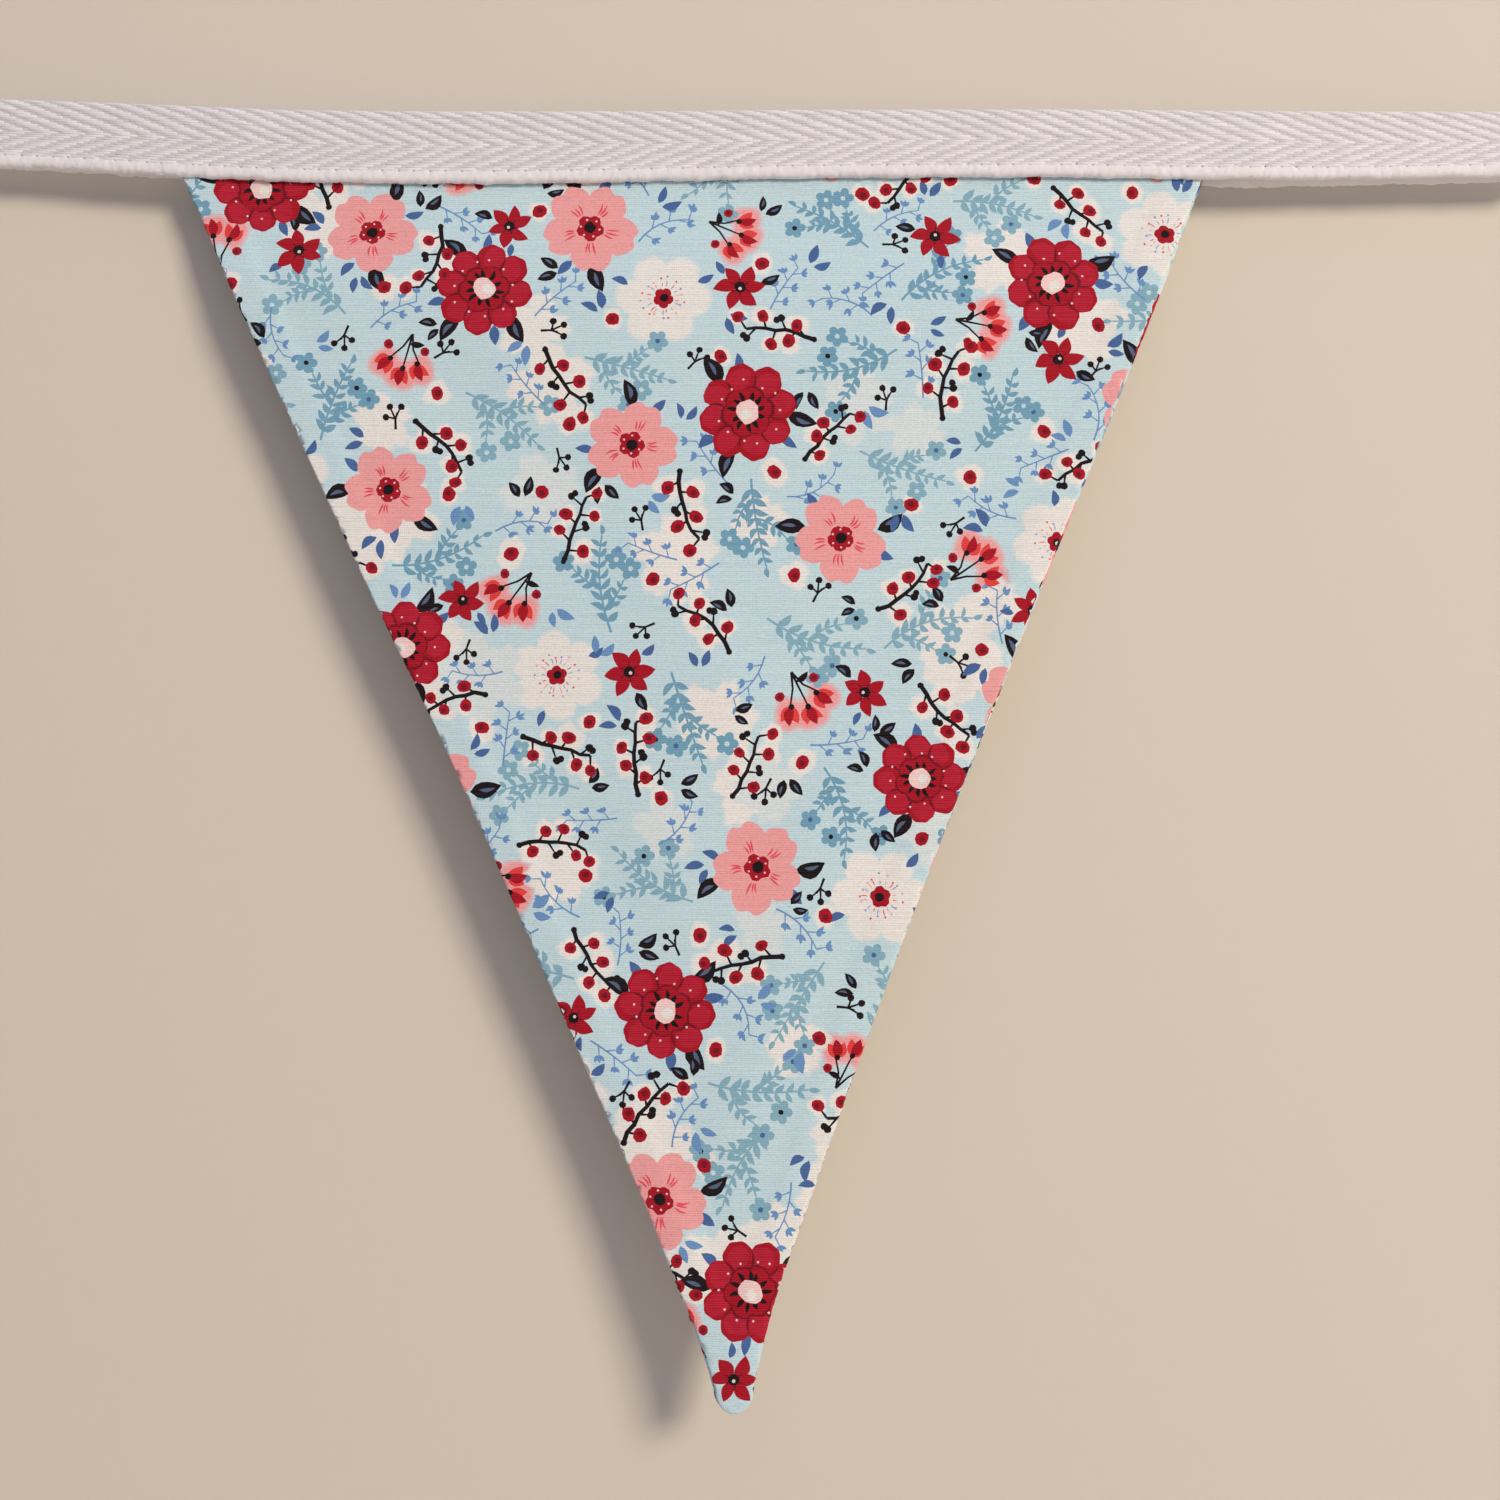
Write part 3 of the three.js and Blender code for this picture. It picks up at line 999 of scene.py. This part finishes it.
def rim_edges(triangles):
    """The directed edges that only one triangle has."""
    edges = np.concatenate((triangles[:, (0, 1)], triangles[:, (1, 2)], triangles[:, (2, 0)]))
    ordered = np.sort(edges, 1)
    _, first, counts = np.unique(ordered, axis=0, return_index=True, return_counts=True)
    return edges[first[counts == 1]]


def rim_strip(outer, inner):
    """The narrow faces between a sheet's outer and inner rims, from the edges of both."""
    outer_a, outer_b = outer.T
    inner_a, inner_b = inner.T
    halves = ((outer_b, outer_a, inner_a), (outer_b, inner_a, inner_b))
    return np.concatenate([np.stack(half, 1) for half in halves])


def add_panel_maps(piece, flat, lining):
    """A map of the weave in metres, and one from 0 to 1 in which the lining has a corner."""
    both = np.concatenate((flat, lining))
    grain = WEFT_TILT * both[:, 0] * smooth(*TILT_DROPS, both[:, 1])
    add_uv(piece, "cloth", np.stack((both[:, 0], both[:, 1] - grain), 1) * MM)
    sheet = (both - flat.min(0)) / (flat.max(0) - flat.min(0))
    sheet[:, 1] = 1 - sheet[:, 1]
    scale = np.concatenate((np.full(len(flat), BAKE_OUTER), np.full(len(lining), BAKE_INNER)))
    add_uv(piece, "OFBake", BAKE_MARGIN + sheet * scale[:, None])


def cotton_panel(name, node, side, material):
    """One printed panel, as a closed sheet that is turned in along its seams."""
    seam = seam_line(side)
    border = offset_line(seam, TURN_RADIUS - math.pi * TURN_RADIUS - TURNED_IN)
    shapes = print_shapes(PRINT_SEEDS[side], border)
    flat, triangles = pattern_mesh(seam, border, shapes)
    on_rim, rim = np.unique(rim_edges(triangles), return_inverse=True)
    rim = rim.reshape(-1, 2)
    lining, lining_triangles = lining_mesh(seam, border, flat[on_rim], rim)
    lining_normals = hung_normals(lining, side, seam)
    inner = hang(lining, side, seam) - lining_normals * COTTON_THICKNESS
    points = np.concatenate((hang(flat, side, seam), inner))
    normals = np.concatenate((hung_normals(flat, side, seam), -lining_normals))
    count = len(flat)
    strip = rim_strip(on_rim[rim], rim + count)
    faces = np.concatenate((triangles, lining_triangles[:, ::-1] + count, strip))
    if side == FRONT:
        faces = faces[:, ::-1]
    piece = new_piece(name, points, faces.tolist(), material, normals)
    plain = np.tile(PALE_GROUND, (len(faces) - len(triangles), 1))
    colours = np.concatenate((painted(flat, triangles, shapes), plain))
    add_colours(piece, "print", np.repeat(colours, 3, axis=0))
    add_panel_maps(piece, flat, lining)
    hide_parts(node)
    return piece


# Tape

def tape_half_gap(x):
    closed = smooth(*TAPE_CLOSING, np.abs(x))
    return TAPE_GAP + (TAPE_END_GAP - TAPE_GAP) * closed


def tape_path(x, s, lift):
    """A point of the folded tape: s runs from its front lower edge over the fold to its back lower edge.

    The lift is measured out from the middle of the fold, past the half gap and the tape's body."""
    x, s, lift = np.broadcast_arrays(x, s, lift)
    radius = tape_half_gap(x) + TAPE_BODY
    top = along(TAPE, "rise", x)
    front = along(TAPE, "front", x) - radius
    back = along(TAPE, "back", x) - radius
    angle = np.clip((s - front) / radius, 0, math.pi)
    centre = top - radius
    out = radius + lift
    y = -np.cos(angle) * out
    z = centre + np.sin(angle) * out
    down = np.maximum(s - front - math.pi * radius, 0)
    z = z - np.maximum(front - s, 0) - down
    curl = np.maximum(1 - (back - down) / TAPE_CURL_HEIGHT, 0) ** 2
    y = y + TAPE_CURL * curl * (down > 0) * smooth(*TAPE_CLOSING, np.abs(x) + TAPE_CURL_LEAD)
    return np.stack((x, y, z), -1)


def tape_length(x):
    """From lower edge to lower edge, over the fold."""
    radius = tape_half_gap(x) + TAPE_BODY
    return along(TAPE, "front", x) + along(TAPE, "back", x) + (math.pi - 2) * radius


def stitch_holes():
    return np.arange(TAPE["x"][0] + STITCH_START, TAPE["x"][-1] - STITCH_END, STITCH)


def tape_grid():
    """Places along and over the tape's body, with the lift of its outer face."""
    x = np.arange(TAPE["x"][0], TAPE["x"][-1] + TAPE_STEP / 2, TAPE_STEP)
    low = np.tile(SELVEDGE_ROWS["height"], (len(x), 1))
    length = tape_length(x)[:, None]
    radius = (tape_half_gap(x) + TAPE_BODY)[:, None]
    fold = along(TAPE, "front", x)[:, None] - radius
    flat = np.linspace(0, 1, TAPE_FLAT_ROWS + 2)[1:-1]
    top = low[:, -1:]
    front = top + flat * (fold - top)
    over = fold + math.pi * radius * np.linspace(0, 1, TAPE_FOLD_ROWS)
    back = over[:, -1:] + flat * (length - top - over[:, -1:])
    s = np.concatenate((low, front, over, back, (length - low)[:, ::-1]), 1)
    edge = SELVEDGE_ROWS["lift"]
    middle = np.zeros(s.shape[1] - 2 * len(edge))
    lift = np.tile(np.concatenate((edge, middle, edge[::-1])), (len(x), 1))
    return x, s, lift


def selvedge_unevenness(x, side):
    """How far the tape's lower edge wanders, with a shallow scallop at every second turn of the weft."""
    scallops = SELVEDGE_SCALLOPS * np.abs(np.sin(math.pi * x / TWILL_REPEAT + side))
    return scallops + waves(x, SELVEDGE_WANDER, side)


def shape_selvedges(x, s, lift):
    """Puffs and wanders the tape's two selvedges, and dents them at the needle holes."""
    rows = s.shape[1]
    near_hole = np.abs(x[:, None] - stitch_holes()[None]).min(1) < TAPE_STEP / 2
    puff = 1 + waves(x, SELVEDGE_PUFF)
    lumps = np.random.default_rng(LUMP_SEED).normal(0, SELVEDGE_LUMPS, (2, len(x), STITCH_ROW))
    fade = np.linspace(1, WANDER_LEFT, STITCH_ROW)
    for side, edge, line in (
        (FRONT, slice(0, STITCH_ROW), STITCH_ROW),
        (BACK, slice(rows - STITCH_ROW, rows), rows - 1 - STITCH_ROW),
    ):
        lift[:, edge] = np.where(lift[:, edge] > 0, lift[:, edge] * puff[:, None], lift[:, edge])
        lift[:, edge] += lumps[(side + 1) // 2]
        lift[near_hole, line] -= NEEDLE_DENT
        s[:, edge] += selvedge_unevenness(x, side)[:, None] * fade[::-side] * -side


def sheet_faces(columns, rows):
    """The faces of a closed sheet: a grid of outer points, the same grid of inner ones, and its edges."""
    shift = columns * rows
    at = np.arange(shift).reshape(columns, rows)
    skin = np.stack((at[:-1, :-1], at[1:, :-1], at[1:, 1:], at[:-1, 1:]), -1).reshape(-1, 4)
    sides = []
    for line, flip in ((at[0], 1), (at[-1], -1), (at[:, 0], -1), (at[:, -1], 1)):
        near, far = line[:-1], line[1:]
        sides.append(np.stack((near, far, far + shift, near + shift), -1)[:, ::flip])
    return np.concatenate((skin, skin[:, ::-1] + shift, *sides))


def tape_body(material):
    """The tape's cloth: a closed sheet, folded lengthwise, with puffed selvedges below its stitch lines."""
    x, s, lift = tape_grid()
    shape_selvedges(x, s, lift)
    outer = tape_path(x[:, None], s, lift)
    inner = tape_path(x[:, None], s, np.full_like(lift, LINING_GAP - TAPE_BODY))
    points = np.concatenate((outer.reshape(-1, 3), inner.reshape(-1, 3)))
    faces = sheet_faces(*s.shape)
    piece = new_piece("tape_cloth", points, faces.tolist(), material)
    flat = np.stack((np.broadcast_to(x[:, None], s.shape), s), -1).reshape(-1, 2)
    add_uv(piece, "cloth", np.concatenate((flat, flat)) * MM)
    tone = np.full(s.shape, SELVEDGE_SHADE)
    # Painted shade: the body between the stitch lines, where the weft shows between the floats, is darkened
    tone[:, STITCH_ROW + 1 : -STITCH_ROW - 1] = WEFT_PAINTED_SHADE
    tone = np.tile(tone.ravel(), 2)[corner_points(piece)]
    add_colours(piece, "tone", tone[:, None] * np.ones(3))
    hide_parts("tape")
    return piece


def twill_shift(end):
    """How many picks the floats of a warp end are moved along, so that the twill makes chevrons."""
    return np.interp(end, CHEVRON_ENDS, CHEVRON_PICKS)


def spindle():
    """One float's points, as shares of its half length, half width and rise, and its triangles."""
    rows = [(-1, 0, -SPINDLE_POINT)]
    for place, wide, tall in SPINDLE_SECTIONS:
        rows.extend((place, wide * across, tall if up > 0 else up) for across, up in SPINDLE_CORNERS)
    rows.append((1, 0, -SPINDLE_POINT))
    last = len(rows) - 1
    faces = []
    for i in range(4):
        j = (i + 1) % 4
        faces.append((0, 1 + j, 1 + i))
        faces.append((last, last - 4 + i, last - 4 + j))
        for base in (1, 5):
            faces.append((base + i, base + j, base + 4 + j))
            faces.append((base + i, base + 4 + j, base + 4 + i))
    return np.array(rows), np.array(faces)[:, ::-1]


def float_places(rng):
    """The warp end and the middle of each float that lies wholly on the tape."""
    low = TAPE["x"][0] + FLOAT_END
    high = TAPE["x"][-1] - FLOAT_END
    ends, steps = np.meshgrid(np.arange(ENDS), np.arange(*FLOAT_REPEATS), indexing="ij")
    centre = low + TWILL_REPEAT * steps + PICK * twill_shift(ends)
    centre = centre + rng.normal(0, FLOAT_SPREAD, centre.shape)
    kept = (centre > low + FLOAT_LENGTH / 2) & (centre < high - FLOAT_LENGTH / 2)
    return ends[kept], centre[kept]


def tape_floats(material):
    """The warp threads' floats over the weft, as small closed spindles laid in chevrons."""
    rng = np.random.default_rng(FLOAT_SEED)
    ends, centre = float_places(rng)
    count = len(centre)
    half = FLOAT_LENGTH / 2 * rng.normal(1, FLOAT_SPREAD, count)
    width = FLOAT_HALF_WIDTH * rng.normal(1, FLOAT_WIDTH_SPREAD, count)
    rise = FLOAT_RISE * rng.normal(1, FLOAT_RISE_SPREAD, count)
    share = (ends + 0.5 + rng.normal(0, FLOAT_SPREAD, count)) / ENDS
    lean = FLOAT_LEAN * np.sign(twill_shift(ends + 1) - twill_shift(ends))
    rows, one = spindle()
    place, across, up = rows.T
    x = centre[:, None] + half[:, None] * place
    s = SELVEDGE + share[:, None] * (tape_length(x) - 2 * SELVEDGE)
    s = s + width[:, None] * across + lean[:, None] * place
    points = tape_path(x, s, rise[:, None] * up).reshape(-1, 3)
    faces = repeated(one, len(rows), count)
    piece = new_piece("tape_floats", points, faces.tolist(), material)
    tone = rng.normal(1, FLOAT_TONE_SPREAD, count).clip(*FLOAT_TONES)
    add_colours(piece, "tone", np.repeat(tone, len(one) * 3)[:, None] * np.ones(3))
    add_uv(piece, "cloth", np.stack((x.ravel(), s.ravel()), 1) * MM)
    return piece


def tube_faces(rings, sides):
    """The faces of one tube with closed ends."""
    faces = []
    for start in range(0, (rings - 1) * sides, sides):
        for i in range(sides):
            j = (i + 1) % sides
            faces.append((start + i, start + sides + i, start + sides + j, start + j))
    first = tuple(range(sides))
    last = tuple(range((rings - 1) * sides, rings * sides))
    return [*faces, first, last[::-1]]


def tape_stitches(material):
    """The machine stitches on both faces, each a short thread that dips into its needle holes."""
    holes = stitch_holes()
    steps = np.linspace(0, 1, STITCH_RINGS)
    arch = np.sin(math.pi * steps)
    lift = STITCH_DIP + STITCH_ARCH * arch**STITCH_ROUND
    thick = THREAD_RADIUS * (STITCH_NECK + (1 - STITCH_NECK) * arch)[:, None]
    angles = circle(THREAD_SIDES)
    tube = tube_faces(STITCH_RINGS, THREAD_SIDES)
    points = []
    faces = []
    for side in (FRONT, BACK):
        for left, right in zip(holes[:-1], holes[1:]):
            start = len(points) * STITCH_RINGS * THREAD_SIDES
            x = left + (right - left) * steps
            s = np.full_like(x, SELVEDGE) if side == FRONT else tape_length(x) - SELVEDGE
            ring_s = s[:, None] + thick * np.cos(angles) * -side
            ring_lift = lift[:, None] + thick * np.sin(angles)
            points.append(tape_path(x[:, None], ring_s, ring_lift).reshape(-1, 3))
            faces.extend(tuple(start + i for i in face[::-side]) for face in tube)
    return new_piece("tape_stitching", np.concatenate(points), faces, material)


def fibre_roots(rng):
    """For all loose fibres: the root, way, bend, length and radius of each."""
    parts = []
    for count, shares, lengths, radius in FUZZ:
        x = rng.uniform(TAPE["x"][0] + FUZZ_END, TAPE["x"][-1] - FUZZ_END, count)
        s = rng.uniform(*shares, count) * tape_length(x)
        length = rng.uniform(*lengths, count)
        root = tape_path(x, s, np.full(count, FUZZ_ROOT))
        out = unit(tape_path(x, s, np.full(count, FUZZ_AIM)) - root)
        along_edge = rng.normal(0, 1, count)
        near_edge = (s < FUZZ_EDGE) | (s > tape_length(x) - FUZZ_EDGE)
        down = np.where(near_edge, -FUZZ_DROOP, 0)
        spread = rng.uniform(*FUZZ_SPREAD, count)[:, None]
        way = unit(out * spread + np.stack((along_edge, 0 * x, down), 1))
        bend = rng.normal(0, FUZZ_BEND, (count, 3))
        parts.append((root, way, bend, length, np.full(count, radius)))
    return (np.concatenate(column) for column in zip(*parts))


def tape_fuzz(material):
    """Fine loose fibres on the tape, thickest along its edges, each a thin bent spike."""
    rng = np.random.default_rng(FUZZ_SEED)
    root, way, bend, length, radius = fibre_roots(rng)
    first = unit(np.cross(way, rng.normal(0, 1, way.shape)))
    second = np.cross(way, first)
    rings = []
    for t in (0, 0.5, 1):
        middle = root + length[:, None] * (way * t + bend * t * t / 2)
        thin = (radius * (1 - FUZZ_TAPER * t))[:, None]
        for angle in np.arange(3) * 2 * math.pi / 3:
            rings.append(middle + thin * (first * math.cos(angle) + second * math.sin(angle)))
    points = np.stack(rings, 1).reshape(-1, 3)
    one = [(0, 2, 1), (6, 7, 8)]
    for base in (0, 3):
        for i in range(3):
            j = (i + 1) % 3
            one.append((base + i, base + j, base + 3 + j))
            one.append((base + i, base + 3 + j, base + 3 + i))
    faces = repeated(one, len(rings), len(root))
    return new_piece("tape_fuzz", points, faces.tolist(), material)


# Materials

class Shader:
    """A short way to add and link the nodes of one material."""

    def __init__(self, name):
        self.material = bpy.data.materials.new(name)
        self.material.use_nodes = True
        self.tree = self.material.node_tree
        self.surface = self.tree.nodes["Principled BSDF"]

    def fill(self, node, inputs):
        """Sets or links a node's inputs, which are given in order or by their names."""
        pairs = inputs.items() if isinstance(inputs, dict) else enumerate(inputs)
        for key, value in pairs:
            if isinstance(value, bpy.types.NodeSocket):
                self.tree.links.new(value, node.inputs[key])
            else:
                node.inputs[key].default_value = value

    def add(self, kind, inputs=(), **settings):
        node = self.tree.nodes.new(kind)
        for name, value in settings.items():
            setattr(node, name, value)
        self.fill(node, inputs)
        return node

    def math(self, operation, *values):
        return self.add("ShaderNodeMath", values, operation=operation).outputs[0]

    def plus(self, base, value, share):
        """A base with a share of another value added."""
        return self.math("MULTIPLY_ADD", value, share, base)

    def shaded(self, shares, **values):
        """A base shade with each named value's share added, in the order given."""
        shade = shares["base"]
        for name, value in values.items():
            shade = self.plus(shade, value, shares[name])
        return shade

    def noise(self, vector, scale, detail):
        inputs = {"Vector": vector, "Scale": scale, "Detail": detail}
        return self.add("ShaderNodeTexNoise", inputs).outputs["Fac"]

    def scaled(self, vector, x, y):
        return self.add("ShaderNodeVectorMath", (vector, (x, y, 1)), operation="MULTIPLY").outputs[0]

    def ridges(self, place, pitch):
        """Rounded threads, side by side at a pitch in millimetres."""
        turns = self.math("MULTIPLY", place, math.pi / (pitch * MM))
        return self.math("ABSOLUTE", self.math("SINE", turns))

    def blended(self, kind, colour, amount):
        """A colour multiplied by an amount, or with it added, alike in red, green and blue."""
        grey = self.add("ShaderNodeCombineXYZ", (amount, amount, amount)).outputs[0]
        inputs = {"Factor": 1, "A": colour, "B": grey}
        clamp = kind == "ADD"
        node = self.add("ShaderNodeMix", data_type="RGBA", blend_type=kind, clamp_result=clamp)
        self.fill(node, inputs)
        return node.outputs["Result"]

    def bump(self, height, strength, distance):
        inputs = {"Strength": strength, "Distance": distance * MM, "Height": height}
        self.fill(self.surface, {"Normal": self.add("ShaderNodeBump", inputs).outputs["Normal"]})

    def finish(self, colour, roughness, sheen):
        """The surface's colour and sheen, as of matt cloth."""
        inputs = {"Base Color": colour, "Roughness": roughness, "Specular IOR Level": CLOTH_SPECULAR}
        self.fill(self.surface, inputs)
        self.fill(self.surface, {"Sheen Weight": sheen, "Sheen Roughness": SHEEN_ROUGHNESS})


def cotton_material():
    """Plain-weave cotton: its print, uneven weft threads that show more than the warp, painted shade in the
    lines between the threads, painted highlight on the weft's tops, and a fine bump.
    """
    shader = Shader("printed_cotton")
    place = shader.add("ShaderNodeUVMap", uv_map="cloth").outputs[0]
    across, down, _ = shader.add("ShaderNodeSeparateXYZ", (place,)).outputs
    picks = 1 / (WEFT_PITCH * MM)
    slubs = shader.noise(shader.scaled(place, SLUBS, picks), 1, 2)
    grain = shader.noise(shader.scaled(place, GRAINS / (WARP_PITCH * MM), picks), 1, 1)
    patches = shader.noise(place, PATCHES, 3)
    weft = shader.ridges(shader.plus(down, slubs, WEFT_WANDER * MM), WEFT_PITCH)
    warp = shader.ridges(across, WARP_PITCH)
    threads = shader.plus(weft, warp, WARP_RELIEF)
    # The threads' share is painted shade: the dye is darker in the thin lines between the threads
    shade = shader.shaded(COTTON_SHADE, threads=threads, slubs=slubs, grain=grain, patches=patches)
    dye_colour = shader.add("ShaderNodeAttribute", attribute_name="print").outputs["Color"]
    dyed = shader.blended("MULTIPLY", dye_colour, shade)
    # Painted highlight: the dye is made paler on the weft's tops
    highlighted = shader.blended("ADD", dyed, shader.shaded(WEFT_TOP_HIGHLIGHT, weft=weft))
    shader.bump(shader.plus(threads, grain, GRAIN_RELIEF), *COTTON_BUMP)
    shader.finish(highlighted, *COTTON_FINISH)
    return shader.material


def tape_material():
    """White cotton tape: slightly uneven yarns, with fine fibres along them, and painted shade where the
    weft shows between the floats.
    """
    shader = Shader("white_tape")
    place = shader.add("ShaderNodeUVMap", uv_map="cloth").outputs[0]
    fibres = shader.noise(shader.scaled(place, *TAPE_FIBRES), 1, 3)
    lumps = shader.noise(place, TAPE_LUMPS, 2)
    clouds = shader.noise(place, TAPE_CLOUDS, 3)
    shade = shader.shaded(TAPE_SHADE, fibres=fibres, clouds=clouds)
    # The tone: a random tone for each float, and painted shade on the tape's body where the weft shows
    # between the floats
    tone = shader.add("ShaderNodeAttribute", attribute_name="tone").outputs["Fac"]
    shade = shader.math("MULTIPLY", shade, tone)
    shader.bump(shader.plus(lumps, fibres, FIBRE_RELIEF), *TAPE_BUMP)
    shader.finish(shader.blended("MULTIPLY", TAPE_WHITE, shade), *TAPE_FINISH)
    return shader.material


def thread_material():
    """White sewing thread, smoother than the tape."""
    shader = Shader("white_thread")
    place = shader.add("ShaderNodeTexCoord").outputs["Object"]
    fibres = shader.noise(shader.scaled(place, *THREAD_FIBRES), 1, 2)
    shade = shader.shaded(THREAD_SHADE, fibres=fibres)
    shader.bump(fibres, *THREAD_BUMP)
    shader.finish(shader.blended("MULTIPLY", TAPE_WHITE, shade), *THREAD_FINISH)
    return shader.material


# Stage, light and camera

def plain_plane(name, points, material):
    """A flat four-sided part of the stage."""
    mesh = bpy.data.meshes.new(name)
    mesh.from_pydata((np.array(points) * MM).tolist(), [], [(0, 1, 2, 3)])
    mesh.materials.append(material)
    plane = linked(name, mesh)
    plane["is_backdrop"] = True
    return plane


def matt_shader(name):
    """The stage's plain pale surface."""
    shader = Shader(name)
    shader.finish(WALL_COLOUR, *STAGE_FINISH)
    return shader


def clear_from_behind(shader):
    """Leaves a plane clear from behind, so that the back of the pennant can be seen and lit."""
    clear = shader.add("ShaderNodeBsdfTransparent").outputs[0]
    behind = shader.add("ShaderNodeNewGeometry").outputs["Backfacing"]
    mixed = shader.add("ShaderNodeMixShader", (behind, shader.surface.outputs[0], clear)).outputs[0]
    shader.fill(shader.tree.nodes["Material Output"], {"Surface": mixed})


def stage():
    """A pale backdrop close behind the pennant, and a pale floor far below it."""
    low, high = -STAGE_REACH, STAGE_REACH
    wall = ((low, WALL, FLOOR), (high, WALL, FLOOR), (high, WALL, high), (low, WALL, high))
    ground = ((low, low, FLOOR), (high, low, FLOOR), (high, high, FLOOR), (low, high, FLOOR))
    pale = matt_shader("pale_backdrop")
    clear_from_behind(pale)
    backdrop = plain_plane("backdrop", wall, pale.material)
    backdrop.visible_glossy = False
    backdrop.visible_transmission = False
    plain_plane("floor", ground, matt_shader("pale_floor").material)
    return backdrop


def area_light(name, way, distance, size, watts, colour):
    """A square soft light that shines on the pennant's middle."""
    lamp = bpy.data.lights.new(name, "AREA")
    lamp.size = size * MM
    lamp.energy = watts
    lamp.color = colour
    light = linked(name, lamp)
    way = unit(np.array(way, float))
    light.location = (np.array(LIT_PLACE) + way * distance) * MM
    light.rotation_mode = "QUATERNION"
    light.rotation_quaternion = Vector(-way).to_track_quat("-Z", "Y")
    return light


def shine_through(light, plane):
    """Lets one light through a plane that stops the others."""
    passed = bpy.data.collections.new("clear_to_" + light.name)
    passed.objects.link(plane)
    passed.collection_objects[0].light_linking.link_state = "EXCLUDE"
    light.light_linking.blocker_collection = passed


def lights(backdrop):
    """A key light from the upper right, a weak fill from above, and one from behind for the other side."""
    area_light("key", *KEY)
    area_light("fill_above", *FILL_ABOVE)
    shine_through(area_light("back_fill", *BACK_FILL), backdrop)


def soft_room():
    """The room's dim cool light from all round. Past the stage the camera sees a plain pale wall."""
    world = bpy.data.worlds.new("soft_room")
    world.use_nodes = True
    tree = world.node_tree
    surround = tree.nodes["Background"]
    surround.inputs["Color"].default_value = ROOM_LIGHT
    surround.inputs["Strength"].default_value = ROOM_STRENGTH
    seen = tree.nodes.new("ShaderNodeBackground")
    seen.inputs["Color"].default_value = ROOM_SEEN
    path = tree.nodes.new("ShaderNodeLightPath")
    mixed = tree.nodes.new("ShaderNodeMixShader")
    sources = (path.outputs["Is Camera Ray"], surround.outputs[0], seen.outputs[0])
    for source, socket in zip(sources, mixed.inputs):
        tree.links.new(source, socket)
    tree.links.new(mixed.outputs[0], tree.nodes["World Output"].inputs["Surface"])
    bpy.context.scene.world = world


def camera():
    """The photo's view: a little below the pennant's middle and looking slightly up."""
    lens = bpy.data.cameras.new("camera")
    lens.sensor_width = SENSOR
    lens.lens = SENSOR * FOCAL_PIXELS / FRAME_PIXELS
    lens.clip_start = NEAR_CLIP
    eye = linked("camera", lens)
    eye.location = [v * MM for v in CAMERA_PLACE]
    eye.rotation_euler = (math.radians(90 + CAMERA_UP_TILT), 0, 0)
    bpy.context.scene.camera = eye


def main():
    camera()
    lights(stage())
    soft_room()
    bpy.context.scene.view_settings.view_transform = "Standard"
    cotton = cotton_material()
    cotton_panel("pennant_front_cloth", "pennant_front", FRONT, cotton)
    behind = cotton_panel("pennant_back_cloth", "pennant_back", BACK, cotton)
    behind.visible_diffuse = False  # so that the light on its back isn't thrown on to the backdrop
    white = tape_material()
    body = tape_body(white)
    floats = tape_floats(white)
    thread = thread_material()
    stitches = tape_stitches(thread)
    fuzz = tape_fuzz(thread)
    width = float(tape_length(0.0))


main()
boxes = {"cad": CAD_BOX, "visual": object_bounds()}
{name: [list(corner) for corner in box] for name, box in boxes.items()}
